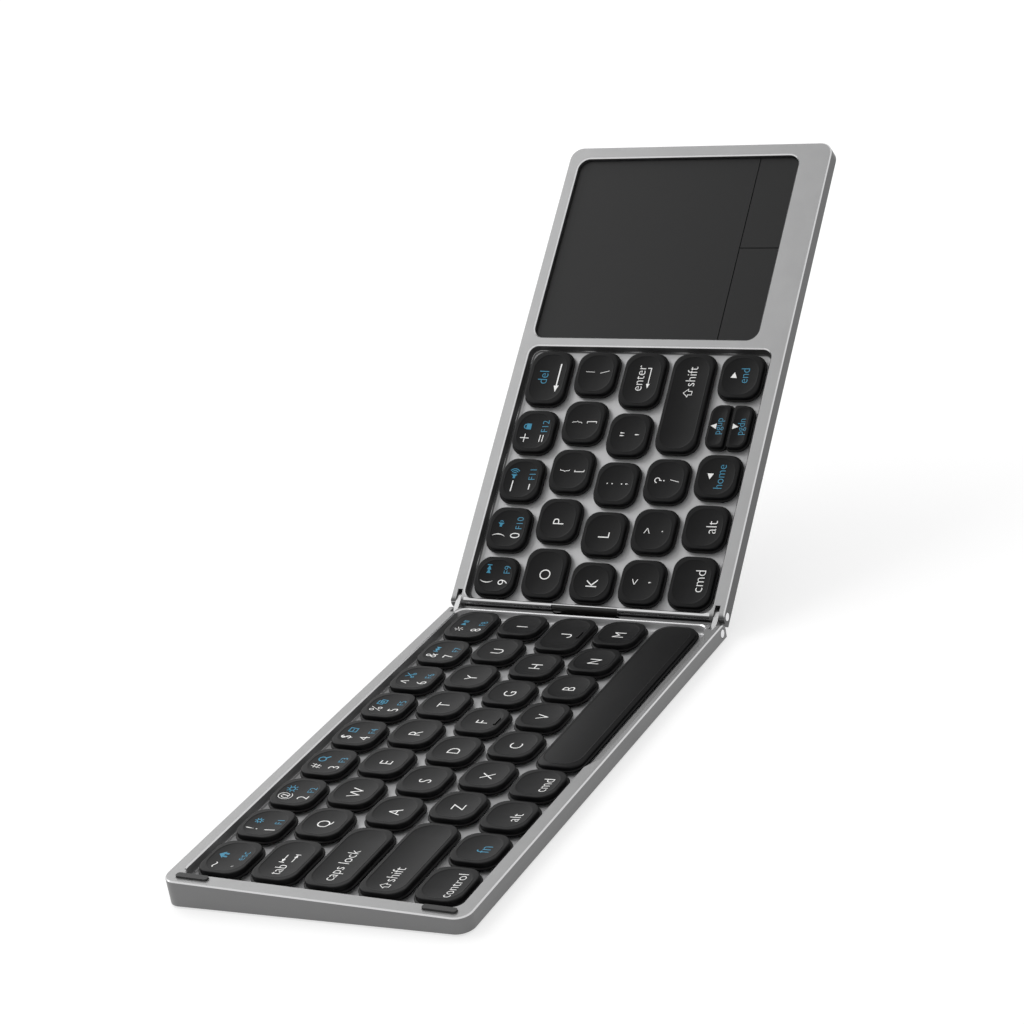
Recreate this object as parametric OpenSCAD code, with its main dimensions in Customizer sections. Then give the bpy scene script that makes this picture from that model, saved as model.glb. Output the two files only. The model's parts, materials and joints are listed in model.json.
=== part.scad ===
// Folding keyboard: two wedge-shaped halves on a two-pin link hinge, with a touchpad in the
// right half. Millimetres, +Z up, the left half flat on its feet and the right half raised.
// Each half is drawn lying flat with its top face at z = 0, its front edge (the space bar side)
// at y = 0 and x running along its length; the placing modules then set it in the object.

/* [Key grid] */
// Width of an ordinary key's top
key_w = 15; // [14:0.1:16]
// Front to back depth of a key's top
key_d = 14.3; // [13.6:0.1:15]
// Gap between the tops of two keys in a row
key_gap_x = 2.6; // [2.2:0.1:3.4]
// Gap between the tops of two rows
key_gap_y = 2.85; // [2.4:0.05:3.4]
// Width of the escape key
esc_w = 16.7; // [14:0.1:20]
// Width of the tab key
tab_w = 20.5; // [16:0.1:23]
// Width of the caps lock key
caps_w = 30.4; // [28:0.1:36]
// Width of the left shift key
left_shift_w = 36.3; // [30:0.1:38]
// Width of the control key
control_w = 16.7; // [14:0.1:20]
// Width of the 8 key, the last of its row
eight_w = 17.4; // [16:0.1:20]
// Width of the 9 key, the first of its row
nine_w = 13.2; // [12.6:0.1:16]
// Width of the O key, the first of its row
o_w = 17.1; // [14:0.1:18]
// Width of the K key, the first of its row
k_w = 13.2; // [12.6:0.1:16]
// Width of the comma key, the first of its row
comma_w = 15; // [13:0.1:17]
// Width of the right cmd key
right_cmd_w = 17.1; // [14:0.1:18]
// Width of the backspace key, the last of its row
backspace_w = 19.3; // [18:0.1:22]

/* [Key caps] */
// Corner radius of a key's top
key_r = 4.4; // [3:0.1:5]
// Height of a key cap
cap_h = 2.1; // [1.6:0.05:2.4]
// Thickness of a cap's walls
cap_wall = 1; // [0.8:0.1:1.3]
// Depth of a cap's underside below its rim
cap_under = 1.05; // [0.9:0.05:1.2]
// Height of the lip round a cap's lower edge
lip_h = 0.6; // [0.3:0.1:0.8]
// How far the lip stands out
lip_out = 0.55; // [0.2:0.05:0.6]
// Width of the flat rim round a cap's dish
dish_rim = 1.1; // [0.8:0.1:1.5]
// Depth of the dish at its middle
dish_depth = 0.38; // [0.2:0.02:0.45]
// Radius of the dishes, and of the space bar's crown
dish_r = 66; // [50:1:90]
// Travel of a key
key_travel = 1; // [1:0.05:1.5]

/* [Case] */
// Width of the rim in front of the keys
front_rim = 4.6; // [4.2:0.1:6]
// Width of the rim behind the keys
back_rim = 4.2; // [3.8:0.1:6]
// Width of the rim at the left half's outer end
left_end_rim = 5; // [4.6:0.1:7]
// Width of the rim at the right half's outer end
right_end_rim = 4.4; // [4:0.1:7]
// Space from the front rim to the key tops
front_margin = 1.7; // [1.6:0.1:3]
// Space from the back rim to the key tops
back_margin = 2.6; // [2:0.1:4]
// Space from the left end rim to the key tops
left_margin = 1.9; // [1.7:0.1:3]
// Space from the key tops to the well's wall at the hinge
hinge_margin = 1.5; // [1.5:0.1:3]
// Space from the right half's key tops to the well's far wall
right_margin = 2.2; // [1.8:0.1:4]
// How much thicker the back edge is than the front edge
wedge = 3.2; // [3.2:0.1:5]
// Corner radius of the outer ends, seen from above
corner_r = 4.5; // [3:0.1:6]
// Corner radius of the key wells
well_r = 3.2; // [2:0.1:4]
// Radius of the cove round a well's floor
cove_r = 1.5; // [0.8:0.1:1.5]
// Width of the bright chamfer along the rims
edge_chamfer = 0.35; // [0.2:0.05:0.5]
// Thickness of the web between a well and the electronics
web_t = 0.5; // [0.4:0.05:0.8]
// Thickness of the bottom covers
cover_t = 0.7; // [0.6:0.05:1]
// Width of the case wall that is left round a bottom cover
cover_lip = 0.9; // [0.7:0.1:1.2]
// Width of the thumb scoop's remaining rim
scoop_rim = 1.9; // [1.4:0.1:2.6]
// Depth of the thumb scoop at the well wall
scoop_depth = 1.5; // [0.8:0.1:2]

/* [Touchpad] */
// Length of the touchpad along the keyboard
pad_w = 69.2; // [60:0.1:80]
// Width of the bridge between the key well and the touchpad
pad_bridge = 3.25; // [2.6:0.05:6]
// Width of the case in front of the touchpad
pad_front_rim = 10.8; // [8:0.1:14]
// Width of the case behind the touchpad
pad_back_rim = 3.95; // [3.5:0.05:6]
// Corner radius of the touchpad recess
pad_r = 4; // [2.5:0.1:6]
// Depth of the touchpad's surface below the rim
pad_drop = 1.35; // [0.8:0.05:1.4]
// Front to back depth of the two click buttons
button_d = 14.4; // [10:0.1:20]
// Travel of the click buttons
button_travel = 0.25; // [0.15:0.05:0.3]

/* [Hinge] */
// Angle by which the right half is raised
right_raise = 40; // [30:1:90]
// Angle by which the links are raised
link_raise = 34; // [5:1:45]
// Distance between the two pins of a link
link_pitch = 5.9; // [5.7:0.1:6.4]
// Depth of the pins below the top face, and radius of the rounded hinge ends
pin_depth = 2.5; // [2.4:0.05:2.6]
// Radius of the pins
pin_r = 0.75; // [0.6:0.05:0.9]
// Radius of the pin heads
pin_head_r = 1.3; // [1.1:0.05:1.5]
// Radius of a link's ends
link_r = 1.9; // [1.6:0.05:2]
// Thickness of a link
link_t = 1.6; // [1.2:0.1:1.6]
// Thickness of the case ear outside a link
ear_t = 1.9; // [1.6:0.1:2]
// How far the key wells reach past the pins
well_past_pin = 0.2; // [0:0.1:0.4]

/* [Fittings] */
// Height of the rubber feet
foot_h = 0.6; // [0.4:0.1:1.5]
// How far the closing bumpers stand out of the rim
bumper_h = 0.6; // [0.3:0.05:0.7]
// Length of a closing bumper
bumper_l = 10.3; // [8:0.1:14]
// Width of a closing bumper
bumper_w = 2; // [1.5:0.1:2.4]
// Length of the battery
battery_l = 62; // [40:1:64]
// Thickness of the battery
battery_t = 2; // [1.6:0.1:2]

/* [Hidden] */
$fn = 48;

// Colours
SILVER = [0.72, 0.72, 0.73];
BLACK = [0.08, 0.08, 0.09];
CHARCOAL = [0.2, 0.2, 0.21];

// Clearances
slip = 0.05;        // round a piece that drops into its pocket
pin_play = 0.05;    // between a pin and the link that turns on it
slot_play = 0.05;   // on each side of a link in its slot
cover_play = 0.1;   // between a bottom cover and the case wall
over = 1;           // how far a cut runs past the face it opens

// The key grid
pitch_x = key_w + key_gap_x;
pitch_y = key_d + key_gap_y;
ROWS = 5;
panel_d = front_rim + front_margin + ROWS * key_d + (ROWS - 1) * key_gap_y + back_margin + back_rim;
left_keys_w = esc_w + key_gap_x + 7 * pitch_x + eight_w;
right_keys_w = nine_w + key_gap_x + 3 * pitch_x + backspace_w;

// Lengths from the outer end to the hinge pin
left_len = left_end_rim + left_margin + left_keys_w + hinge_margin - well_past_pin;
left_x0 = left_end_rim + left_margin;
left_x1 = left_x0 + left_keys_w;
right_x0 = hinge_margin - well_past_pin;
right_x1 = right_x0 + right_keys_w;
right_well_end = right_x1 + right_margin;
pad_x0 = right_well_end + pad_bridge;
pad_x1 = pad_x0 + pad_w;
right_len = pad_x1 + right_end_rim;
pad_y0 = pad_front_rim;
pad_y1 = panel_d - pad_back_rim;

// Edges of the keys in a row: the first key, n ordinary keys, and a last key up to the end
function row_keys(start, first_w, n, end) =
    [for (i = [0 : n + 1])
        i == 0 ? [start, start + first_w]
        : let (a = start + first_w + key_gap_x + (i - 1) * pitch_x) [a, i > n ? end : a + key_w]];

// Rows from the back (numbers) to the front (space bar)
LEFT_ROWS = [row_keys(left_x0, esc_w, 7, left_x1), row_keys(left_x0, tab_w, 7, left_x1),
             row_keys(left_x0, caps_w, 6, left_x1), row_keys(left_x0, left_shift_w, 6, left_x1),
             row_keys(left_x0, control_w, 3, left_x1)];
RIGHT_ROWS = [row_keys(right_x0, nine_w, 3, right_x1), row_keys(right_x0, o_w, 3, right_x1),
              row_keys(right_x0, k_w, 3, right_x1), row_keys(right_x0, comma_w, 2, right_x1),
              row_keys(right_x0, right_cmd_w, 3, right_x1)];
function row_y(row) = front_rim + front_margin + (ROWS - 1 - row) * pitch_y;

// The up and down keys share one key's place, in the right half's front row
SPLIT_ROW = 4;
SPLIT_KEY = 3;
split_gap = 1.2;
down_d = (key_d - split_gap) / 2;
split_y = row_y(SPLIT_ROW) + down_d;

// Heights, down from the top face: a pressed key stops just above the well's floor, and the
// sheets below the web lie close to the bottom cover at the front edge
travel_room = 0.15;
front_saving = 0.1;
well_depth = cap_h + key_travel + travel_room;
web_z = -well_depth - web_t;
membrane_t = 0.2;
plate_t = 0.25;
membrane_z = web_z - membrane_t;
plate_z = membrane_z - plate_t;
front_t = cover_t - plate_z - front_saving;
back_t = front_t + wedge;
deep = -3 * back_t;
function bottom_z(y) = -front_t - (back_t - front_t) * y / panel_d;
tilt = atan((back_t - front_t) / panel_d);

// The wedge seen from the end, from the bottom plane raised by up, down to far below
module wedge_section(up) {
    polygon([[-over, bottom_z(-over) + up], [panel_d + over, bottom_z(panel_d + over) + up],
             [panel_d + over, deep], [-over, deep]]);
}

// The space below the bottom plane raised by up
module below_plane(up) {
    translate([-link_pitch, 0, 0]) rotate([90, 0, 90])
        linear_extrude(left_len + right_len) wedge_section(up);
}

// A 2D rectangle with round corners
module rounded(x0, x1, y0, y1, r) {
    translate([x0 + r, y0]) square([x1 - x0 - 2 * r, y1 - y0]);
    translate([x0, y0 + r]) square([x1 - x0, y1 - y0 - 2 * r]);
    for (x = [x0 + r, x1 - r], y = [y0 + r, y1 - r]) translate([x, y]) circle(r);
}

// A box with round vertical corners
module rounded_box(x0, x1, y0, y1, r, z0, z1) {
    translate([0, 0, z0]) linear_extrude(z1 - z0) rounded(x0, x1, y0, y1, r);
}

// Runs a section round a rectangle with round corners: its x is outwards and its y is up
module run_round(x0, x1, y0, y1, r) {
    sides = [[x1, y1 - r, 0, y1 - y0 - 2 * r], [x0 + r, y1, 90, x1 - x0 - 2 * r],
             [x0, y0 + r, 180, y1 - y0 - 2 * r], [x1 - r, y0, 270, x1 - x0 - 2 * r]];
    for (s = sides)
        translate([s[0], s[1], 0]) rotate([90, 0, s[2]]) linear_extrude(s[3]) children();
    corners = [[x1 - r, y1 - r, 0], [x0 + r, y1 - r, 90], [x0 + r, y0 + r, 180],
               [x1 - r, y0 + r, 270]];
    for (c = corners)
        translate([c[0], c[1], 0]) rotate([0, 0, c[2]]) rotate_extrude(angle = 90)
            translate([r, 0]) children();
}

// Sections for run_round: what a chamfer removes outside a rim's outer edge or its inner edge
module outer_chamfer() {
    polygon([[0, -edge_chamfer], [-edge_chamfer, 0], [-edge_chamfer, over], [over, over],
             [over, -edge_chamfer]]);
}
module inner_chamfer() {
    polygon([[0, -edge_chamfer], [edge_chamfer, 0], [edge_chamfer, over], [-over, over],
             [-over, -edge_chamfer]]);
}

// Section of the cove between a well's wall and its floor
module cove() {
    translate([0, -well_depth]) difference() {
        translate([-cove_r, -over]) square([cove_r + over, cove_r + over]);
        translate([-cove_r, cove_r]) circle(cove_r);
        translate([-cove_r - over, cove_r]) square([cove_r + 3 * over, over]);
    }
}

// ---- Placing: the whole object stands with its bottom plane level
front_lift = front_t * cos(tilt) + foot_h;
pin_rise = link_pitch * sin(link_raise);
pin_run = link_pitch * cos(link_raise);
far_x = right_len * cos(right_raise) + (-bottom_z(panel_d - corner_r) - pin_depth) * sin(right_raise);
object_x1 = left_len + pin_run + far_x;
far_top = -pin_depth + pin_rise + (right_len - corner_r) * sin(right_raise)
          + pin_depth * cos(right_raise);
object_y0 = -far_top * sin(tilt);
object_y1 = panel_d * cos(tilt) + back_t * sin(tilt);
module in_left() {
    translate([-object_x1 / 2, -(object_y0 + object_y1) / 2, front_lift])
        rotate([tilt, 0, 0]) children();
}
module at_left_pin() {
    translate([left_len, 0, -pin_depth]) children();
}
module in_right() {
    in_left() at_left_pin() translate([pin_run, 0, pin_rise]) rotate([0, -right_raise, 0])
        translate([0, 0, pin_depth]) children();
}

// Draws children, made with x running outwards from the pin, in the left half
module from_left_pin() {
    translate([left_len, 0, 0]) mirror([1, 0, 0]) children();
}

// ---- Case of one half, with x running outwards from the pin
slot_y0 = ear_t;
slot_w = link_t + 2 * slot_play;
slot_reach = link_r + 0.6;
slot_floor = -pin_depth - link_r - 0.1;
pin_l = ear_t + slot_w + 0.8;
head_t = 0.4;
head_gap = 0.2;     // round a pin's head
module on_both_edges() {
    children();
    translate([0, panel_d, 0]) mirror([0, 1, 0]) children();
}

module case_block(len) {
    difference() {
        intersection() {
            rotate([90, 0, 0]) translate([0, 0, -panel_d]) linear_extrude(panel_d) union() {
                translate([0, deep]) square([len, -deep]);
                translate([-pin_depth, deep]) square([pin_depth + over, -deep - pin_depth]);
                translate([0, -pin_depth]) circle(pin_depth);
            }
            linear_extrude(-2 * deep, center = true)
                rounded(-4 * corner_r, len, 0, panel_d, corner_r);
        }
        below_plane(0);
        run_round(-4 * corner_r, len, 0, panel_d, corner_r) outer_chamfer();
    }
}

module well(x0, x1) {
    difference() {
        rounded_box(x0, x1, front_rim, panel_d - back_rim, well_r, -well_depth, over);
        run_round(x0, x1, front_rim, panel_d - back_rim, well_r) cove();
    }
    run_round(x0, x1, front_rim, panel_d - back_rim, well_r) inner_chamfer();
}

// The room for the electronics, below the web
cavity_in = 0.2;
cavity_x0 = 0.8;
corner_block_x = 6;
corner_block_y = 8;
module cavity(len, end_rim) {
    difference() {
        union() {
            rounded_box(corner_block_x, len - end_rim - cavity_in, front_rim + cavity_in,
                        panel_d - back_rim - cavity_in, 2, deep, web_z);
            rounded_box(cavity_x0, corner_block_x + 2 * over, corner_block_y,
                        panel_d - corner_block_y, 0.8, deep, web_z);
        }
        below_plane(cover_t - cover_play);
    }
}

cover_x0 = 3.2;
module cover_room(len) {
    intersection() {
        rounded_box(cover_x0, len - cover_lip, cover_lip, panel_d - cover_lip,
                    corner_r - cover_lip, deep, 0);
        below_plane(cover_t);
    }
}

screw_in = 2.9;
screw_r = 0.65;
screw_head_r = 1.25;
screw_head_t = 0.4;
screw_l = 2.6;
screw_from_pin = 10;
screw_from_end = 12;
function screw_xs(len) = [screw_from_pin, len / 2, len - screw_from_end];
module at_screws(len) {
    for (x = screw_xs(len), y = [screw_in, panel_d - screw_in])
        translate([x, y, bottom_z(y)]) children();
}

// The window for the flex cable in the middle of a hinge end
window_w = 23.2;
window_y0 = (panel_d - window_w) / 2;
window_z0 = plate_z - 0.5;
window_in = 0.8;
flex_t = 0.2;
flex_z = plate_z - flex_t;
module flex_window() {
    translate([-pin_depth - over, window_y0, window_z0])
        cube([pin_depth + over - window_in, window_w, over - window_z0]);
    translate([-pin_depth, window_y0, window_z0])
        cube([pin_depth + cavity_x0 + over, window_w, plate_z + slip - window_z0]);
}

module hinge_cuts() {
    on_both_edges() {
        translate([-2 * pin_depth, slot_y0, slot_floor])
            cube([2 * pin_depth + slot_reach, slot_w, over - slot_floor]);
        translate([0, -over, -pin_depth]) rotate([-90, 0, 0]) cylinder(h = pin_l + over, r = pin_r);
        translate([0, -over, -pin_depth]) rotate([-90, 0, 0])
            cylinder(h = over + head_t, r = pin_head_r + head_gap);
    }
    flex_window();
}

magnet_r = 1.5;
magnet_t = 1.6;
magnet_top = -0.9;
magnet_in = 2.4;
module at_magnets(len) {
    for (y = [0.3, 0.7] * panel_d) translate([len - magnet_in, y, magnet_top]) children();
}

module plain_case(len, end_rim) {
    difference() {
        case_block(len);
        cavity(len, end_rim);
        cover_room(len);
        hinge_cuts();
        at_screws(len) cylinder(h = screw_l + slip, r = screw_r);
        at_magnets(len) translate([0, 0, deep]) cylinder(h = -deep, r = magnet_r + slip);
    }
}

// ---- Keys
mech_w = 10.6;      // opening in the web below a key
lever_l = 9.6;
lever_t = 0.5;
lever_bar = 0.7;
lever_play = 0.2;   // between a lever and the walls or the dome beside it
outer_lever_d = 10;
inner_lever_d = 8.3;
half_lever_d = down_d - 2 * cap_wall - 2 * lever_play;
dome_r = 3.2;
half_dome_r = 1.6;
wide_key = 26;      // from this width on, a key has two pairs of levers

// Places of a key's lever pairs
function lever_xs(k) =
    let (w = k[1] - k[0], mid = (k[0] + k[1]) / 2,
         side = max(w / 4, dome_r + lever_l / 2 + lever_play))
    w < wide_key ? [mid] : [mid - side, mid + side];

module key_shape(k, y0, y1, grow) {
    rounded(k[0] - grow, k[1] + grow, y0 - grow, y1 + grow, key_r + grow);
}

module dish(k, y0, y1) {
    mid = (k[0] + k[1]) / 2;
    long = k[1] - k[0] >= wide_key;
    r = min(key_r + dish_rim, mid - k[0] - dish_rim - slip, (y1 - y0) / 2 - dish_rim - slip);
    intersection() {
        rounded_box(k[0] + dish_rim, k[1] - dish_rim, y0 + dish_rim, y1 - dish_rim, r,
                    -over, over);
        translate([mid, (y0 + y1) / 2, dish_r - dish_depth])
            rotate(long ? [0, 90, 0] : [90, 0, 0])
                cylinder(h = 2 * (k[1] - k[0]), r = dish_r, center = true, $fn = 240);
    }
}

module cap_block(k, y0, y1) {
    translate([0, 0, -cap_h]) linear_extrude(cap_h) key_shape(k, y0, y1, 0);
    translate([0, 0, -cap_h]) linear_extrude(lip_h) key_shape(k, y0, y1, lip_out);
}

module cap_hollow(k, y0, y1) {
    translate([0, 0, -cap_h - over]) linear_extrude(cap_h + over - cap_under)
        key_shape(k, y0, y1, -cap_wall);
}

module key_cap(k, y0, y1) {
    difference() {
        cap_block(k, y0, y1);
        cap_hollow(k, y0, y1);
        dish(k, y0, y1);
    }
}

// The space bar has a rounded top in place of a dish
SPACE_ROW = 4;
SPACE_KEY = 4;
module space_bar() {
    k = LEFT_ROWS[SPACE_ROW][SPACE_KEY];
    y0 = row_y(SPACE_ROW);
    difference() {
        intersection() {
            cap_block(k, y0, y0 + key_d);
            translate([k[0] - over, y0 + key_d / 2, -dish_r]) rotate([0, 90, 0])
                cylinder(h = k[1] - k[0] + 2 * over, r = dish_r, $fn = 240);
        }
        cap_hollow(k, y0, y0 + key_d);
    }
}

module keys(rows, row, first, last) {
    for (i = [first : last]) key_cap(rows[row][i], row_y(row), row_y(row) + key_d);
}

// The small bar that the finger finds on F and J
HOME_ROW = 2;
HOME_KEYS = [4, 7];
bar_l = 3.8;
bar_w = 0.7;
bar_h = 0.35;
module home_bars() {
    for (i = HOME_KEYS) let (k = LEFT_ROWS[HOME_ROW][i])
        translate([(k[0] + k[1] - bar_l) / 2, row_y(HOME_ROW) + dish_rim + bar_w,
                   -dish_depth - bar_h / 2])
            cube([bar_l, bar_w, bar_h]);
}

// One half of the split key: the ordinary key's shape cut off at y0 and y1
module half_cap(y0, y1) {
    k = RIGHT_ROWS[SPLIT_ROW][SPLIT_KEY];
    whole_y0 = row_y(SPLIT_ROW);
    difference() {
        intersection() {
            union() {
                translate([0, 0, -cap_h]) linear_extrude(cap_h)
                    key_shape(k, whole_y0, whole_y0 + key_d, 0);
                translate([0, 0, -cap_h]) linear_extrude(lip_h)
                    key_shape(k, whole_y0, whole_y0 + key_d, lip_out);
            }
            translate([k[0] - over, y0, -cap_h - over])
                cube([k[1] - k[0] + 2 * over, y1 - y0, cap_h + 2 * over]);
        }
        rounded_box(k[0] + 2 * cap_wall, k[1] - 2 * cap_wall,
                    max(y0, whole_y0) + cap_wall, min(y1, whole_y0 + key_d) - cap_wall, 0.5,
                    -cap_h - over, -cap_under);
    }
}

// Web openings, domes and levers below all the keys of one half, the split key left out
module under_keys(rows, split) {
    for (row = [0 : ROWS - 1], i = [0 : len(rows[row]) - 1])
        if (!(split && row == SPLIT_ROW && i == SPLIT_KEY)) {
            $key = rows[row][i];
            $mid_y = row_y(row) + key_d / 2;
            children();
        }
}

// Places of the up and down keys' mechanisms
module under_split() {
    k = RIGHT_ROWS[SPLIT_ROW][SPLIT_KEY];
    for (y = [row_y(SPLIT_ROW) + down_d / 2, split_y + split_gap + down_d / 2])
        translate([(k[0] + k[1]) / 2, y, 0]) children();
}

module web_opening(w, d) {
    translate([-w / 2, -d / 2, web_z - over]) cube([w, d, web_t + 2 * over]);
}

module web_openings(rows, split) {
    under_keys(rows, split) {
        for (x = lever_xs($key)) translate([x, $mid_y, 0]) web_opening(mech_w, mech_w);
        translate([($key[0] + $key[1]) / 2, $mid_y, 0])
            web_opening(2 * dome_r + 0.6, 2 * dome_r + 0.6);
    }
    if (split) under_split() web_opening(mech_w, half_lever_d + 0.5);
}

// A hollow rubber dome that stands on the membrane and holds its cap up
module dome(r) {
    h = -cap_under - web_z;
    top_r = r * 0.45;
    skin = 0.45;
    translate([0, 0, web_z]) rotate_extrude()
        polygon([[r - skin, 0], [r, 0], [r, skin], [top_r, h * 0.62], [top_r, h], [0, h],
                 [0, h * 0.5], [top_r - skin, h * 0.5]]);
}

module domes(rows, split) {
    under_keys(rows, split) translate([($key[0] + $key[1]) / 2, $mid_y, 0]) dome(dome_r);
    if (split) under_split() dome(half_dome_r);
}

// One lever frame, tipped so that one end is under the cap and the other on the membrane
module lever(d, way) {
    h = -cap_under - web_z;
    tip = asin((h / 2 - lever_t / 2 - slip) / (lever_l / 2));
    translate([0, 0, web_z + h / 2]) rotate([0, way * tip, 0]) difference() {
        cube([lever_l, d, lever_t], center = true);
        cube([lever_l - 2 * lever_bar, d - 2 * lever_bar, 2 * lever_t], center = true);
    }
}

module levers(rows, split) {
    under_keys(rows, split) for (x = lever_xs($key)) translate([x, $mid_y, 0]) {
        lever(outer_lever_d, 1);
        lever(inner_lever_d, -1);
    }
    if (split) under_split() lever(half_lever_d, 1);
}

// ---- Left half
scoop_run = 6;
scoop_edge = scoop_rim - edge_chamfer;
scoop_x0 = LEFT_ROWS[SPACE_ROW][SPACE_KEY][0];
scoop_x1 = left_len - well_r;
module thumb_scoop() {
    intersection() {
        translate([0, 0, -well_depth]) linear_extrude(2 * well_depth)
            polygon([[scoop_x0, front_rim + over], [scoop_x0, front_rim],
                     [scoop_x0 + scoop_run, scoop_edge], [scoop_x1 - scoop_run, scoop_edge],
                     [scoop_x1, front_rim], [scoop_x1, front_rim + over]]);
        rotate([90, 0, 90]) linear_extrude(left_len)
            polygon([[scoop_edge, 0], [scoop_rim, -edge_chamfer], [front_rim, -scoop_depth],
                     [front_rim + over, -scoop_depth], [front_rim + over, over],
                     [scoop_edge, over]]);
    }
}

// The board carries the USB-C port at its back edge, which sits in the case's back wall
board_l = 50;
board_d = 20.5;
board_t = 0.8;
board_from_pin = 6.1;
usb_from_end = 24;
board_x1 = left_len - board_from_pin;
board_x0 = board_x1 - board_l;
usb_x = board_x0 + usb_from_end;
usb_w = 8.94;
usb_h = 3.16;
usb_l = 7.2;
usb_shell = 0.3;
usb_z1 = web_z - slip;
usb_y1 = panel_d - 0.2;
board_y1 = usb_y1 - usb_l - slip;
board_y0 = board_y1 - board_d;
sheet_y1 = board_y1 - 0.5;
module usb_outline(w, h) {
    rounded(-w / 2, w / 2, -h / 2, h / 2, h / 2 - 0.1);
}
module at_usb() {
    translate([usb_x, usb_y1, usb_z1 - usb_h / 2]) rotate([90, 0, 0]) children();
}

bumper_x = 2.1;
bumper_y = 4;
bumper_seat = 0.8;
module at_bumpers() {
    on_both_edges() translate([bumper_x, bumper_y, -bumper_seat]) children();
}

module left_top_case() {
    color(SILVER) in_left() difference() {
        from_left_pin() plain_case(left_len, left_end_rim);
        well(left_end_rim, left_len + well_past_pin);
        web_openings(LEFT_ROWS, false);
        thumb_scoop();
        at_bumpers() rounded_box(-slip, bumper_w + slip, -slip, bumper_l + slip, 0.7, 0, 2 * over);
        at_usb() translate([0, 0, -over]) linear_extrude(usb_l + over)
            usb_outline(usb_w + 2 * slip, usb_h + 2 * slip);
    }
}

// A bottom cover, with x running outwards from the pin
module cover(len) {
    difference() {
        intersection() {
            rounded_box(cover_x0 + cover_play, len - cover_lip - cover_play,
                        cover_lip + cover_play, panel_d - cover_lip - cover_play,
                        corner_r - cover_lip - cover_play, deep, 0);
            below_plane(cover_t);
        }
        below_plane(0);
        at_screws(len) translate([0, 0, -over]) cylinder(h = 2 * over, r = screw_r + slip);
        at_screws(len) translate([0, 0, -over])
            cylinder(h = over + screw_head_t, r = screw_head_r + slip);
    }
}

module screws(len) {
    at_screws(len) difference() {
        translate([0, 0, slip]) {
            cylinder(h = screw_l - slip, r = screw_r);
            cylinder(h = screw_head_t - slip, r = screw_head_r);
        }
        translate([-screw_head_r / 2, -0.15, -over]) cube([screw_head_r, 0.3, over + 0.2]);
    }
}

module left_bottom_cover() {
    color(SILVER) in_left() from_left_pin() cover(left_len);
}

// A sheet that lies below the web, with x running outwards from the pin
sheet_in = 0.6;
module sheet(end, z, t) {
    translate([0, 0, z]) linear_extrude(t) {
        rounded(corner_block_x, end - sheet_in, front_rim + sheet_in, sheet_y1, 1.5);
        rounded(cavity_x0 + sheet_in, corner_block_x + 2 * over, corner_block_y + sheet_in,
                panel_d - corner_block_y - sheet_in, 0.8);
    }
}

module left_key_membrane() {
    color("tan") in_left() from_left_pin()
        sheet(left_len - left_end_rim, membrane_z, membrane_t);
}

module left_support_plate() {
    color("lightgray") in_left() from_left_pin()
        sheet(left_len - left_end_rim, plate_z, plate_t);
}

module left_rubber_domes() {
    color("white") in_left() domes(LEFT_ROWS, false);
}

module left_scissor_levers() {
    color("ivory") in_left() levers(LEFT_ROWS, false);
}

battery_d = 21.5;
battery_gap = 6;        // between the battery and the main board
battery_back = 4.1;     // between the battery and the cavity's back wall
battery_x0 = board_x0 - battery_gap - battery_l;
battery_y0 = panel_d - back_rim - cavity_in - battery_back - battery_d;
module battery() {
    color("silver") in_left()
        rounded_box(battery_x0, battery_x0 + battery_l, battery_y0, battery_y0 + battery_d, 1,
                    plate_z - battery_t, plate_z);
}

// The board with its chips on the underside
chips = [[4, 4, 7, 7], [15, 8, 5, 5], [36, 3, 8, 4], [36, 11, 4, 4]];
chip_t = 0.8;
module main_board() {
    color("darkgreen") in_left() {
        translate([board_x0, board_y0, plate_z - board_t])
            cube([board_l, board_d, board_t]);
        for (c = chips)
            translate([board_x0 + c[0], board_y0 + c[1], plate_z - board_t - chip_t])
                cube([c[2], c[3], chip_t]);
    }
}

module usb_c_port() {
    tongue_t = 0.7;
    color("silver") in_left() at_usb() {
        difference() {
            linear_extrude(usb_l) usb_outline(usb_w, usb_h);
            translate([0, 0, -over]) linear_extrude(over + usb_l - usb_shell)
                usb_outline(usb_w - 2 * usb_shell, usb_h - 2 * usb_shell);
        }
        translate([-usb_w * 0.37, -tongue_t / 2, 0.8])
            cube([usb_w * 0.74, tongue_t, usb_l - 0.8 - usb_shell]);
    }
}

module left_bumpers() {
    color(BLACK) in_left() at_bumpers()
        rounded_box(0, bumper_w, 0, bumper_l, 0.8, 0, bumper_seat + bumper_h);
}

foot_l = 30;
foot_d = 5;
foot_r = 2.2;
foot_in = 4.5;
module feet(len) {
    difference() {
        intersection() {
            for (x = [foot_in, len - foot_in - foot_l], y = [foot_in, panel_d - foot_in - foot_d])
                rounded_box(x, x + foot_l, y, y + foot_d, foot_r, deep, 0);
            below_plane(0);
        }
        below_plane(-foot_h / cos(tilt));
    }
}

module left_feet() {
    color(BLACK) in_left() from_left_pin() feet(left_len);
}

module left_screws() {
    color("gray") in_left() from_left_pin() screws(left_len);
}

module magnets(len) {
    at_magnets(len) translate([0, 0, -magnet_t]) cylinder(h = magnet_t, r = magnet_r);
}

module left_magnets() {
    color("silver") in_left() from_left_pin() magnets(left_len);
}

// The two pins of one half, with x running outwards from them
module pins() {
    on_both_edges() translate([0, 0, -pin_depth]) rotate([-90, 0, 0]) {
        cylinder(h = pin_l - slip, r = pin_r);
        cylinder(h = head_t, r = pin_head_r);
    }
}

module left_hinge_pins() {
    color("silver") in_left() from_left_pin() pins();
}

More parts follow.
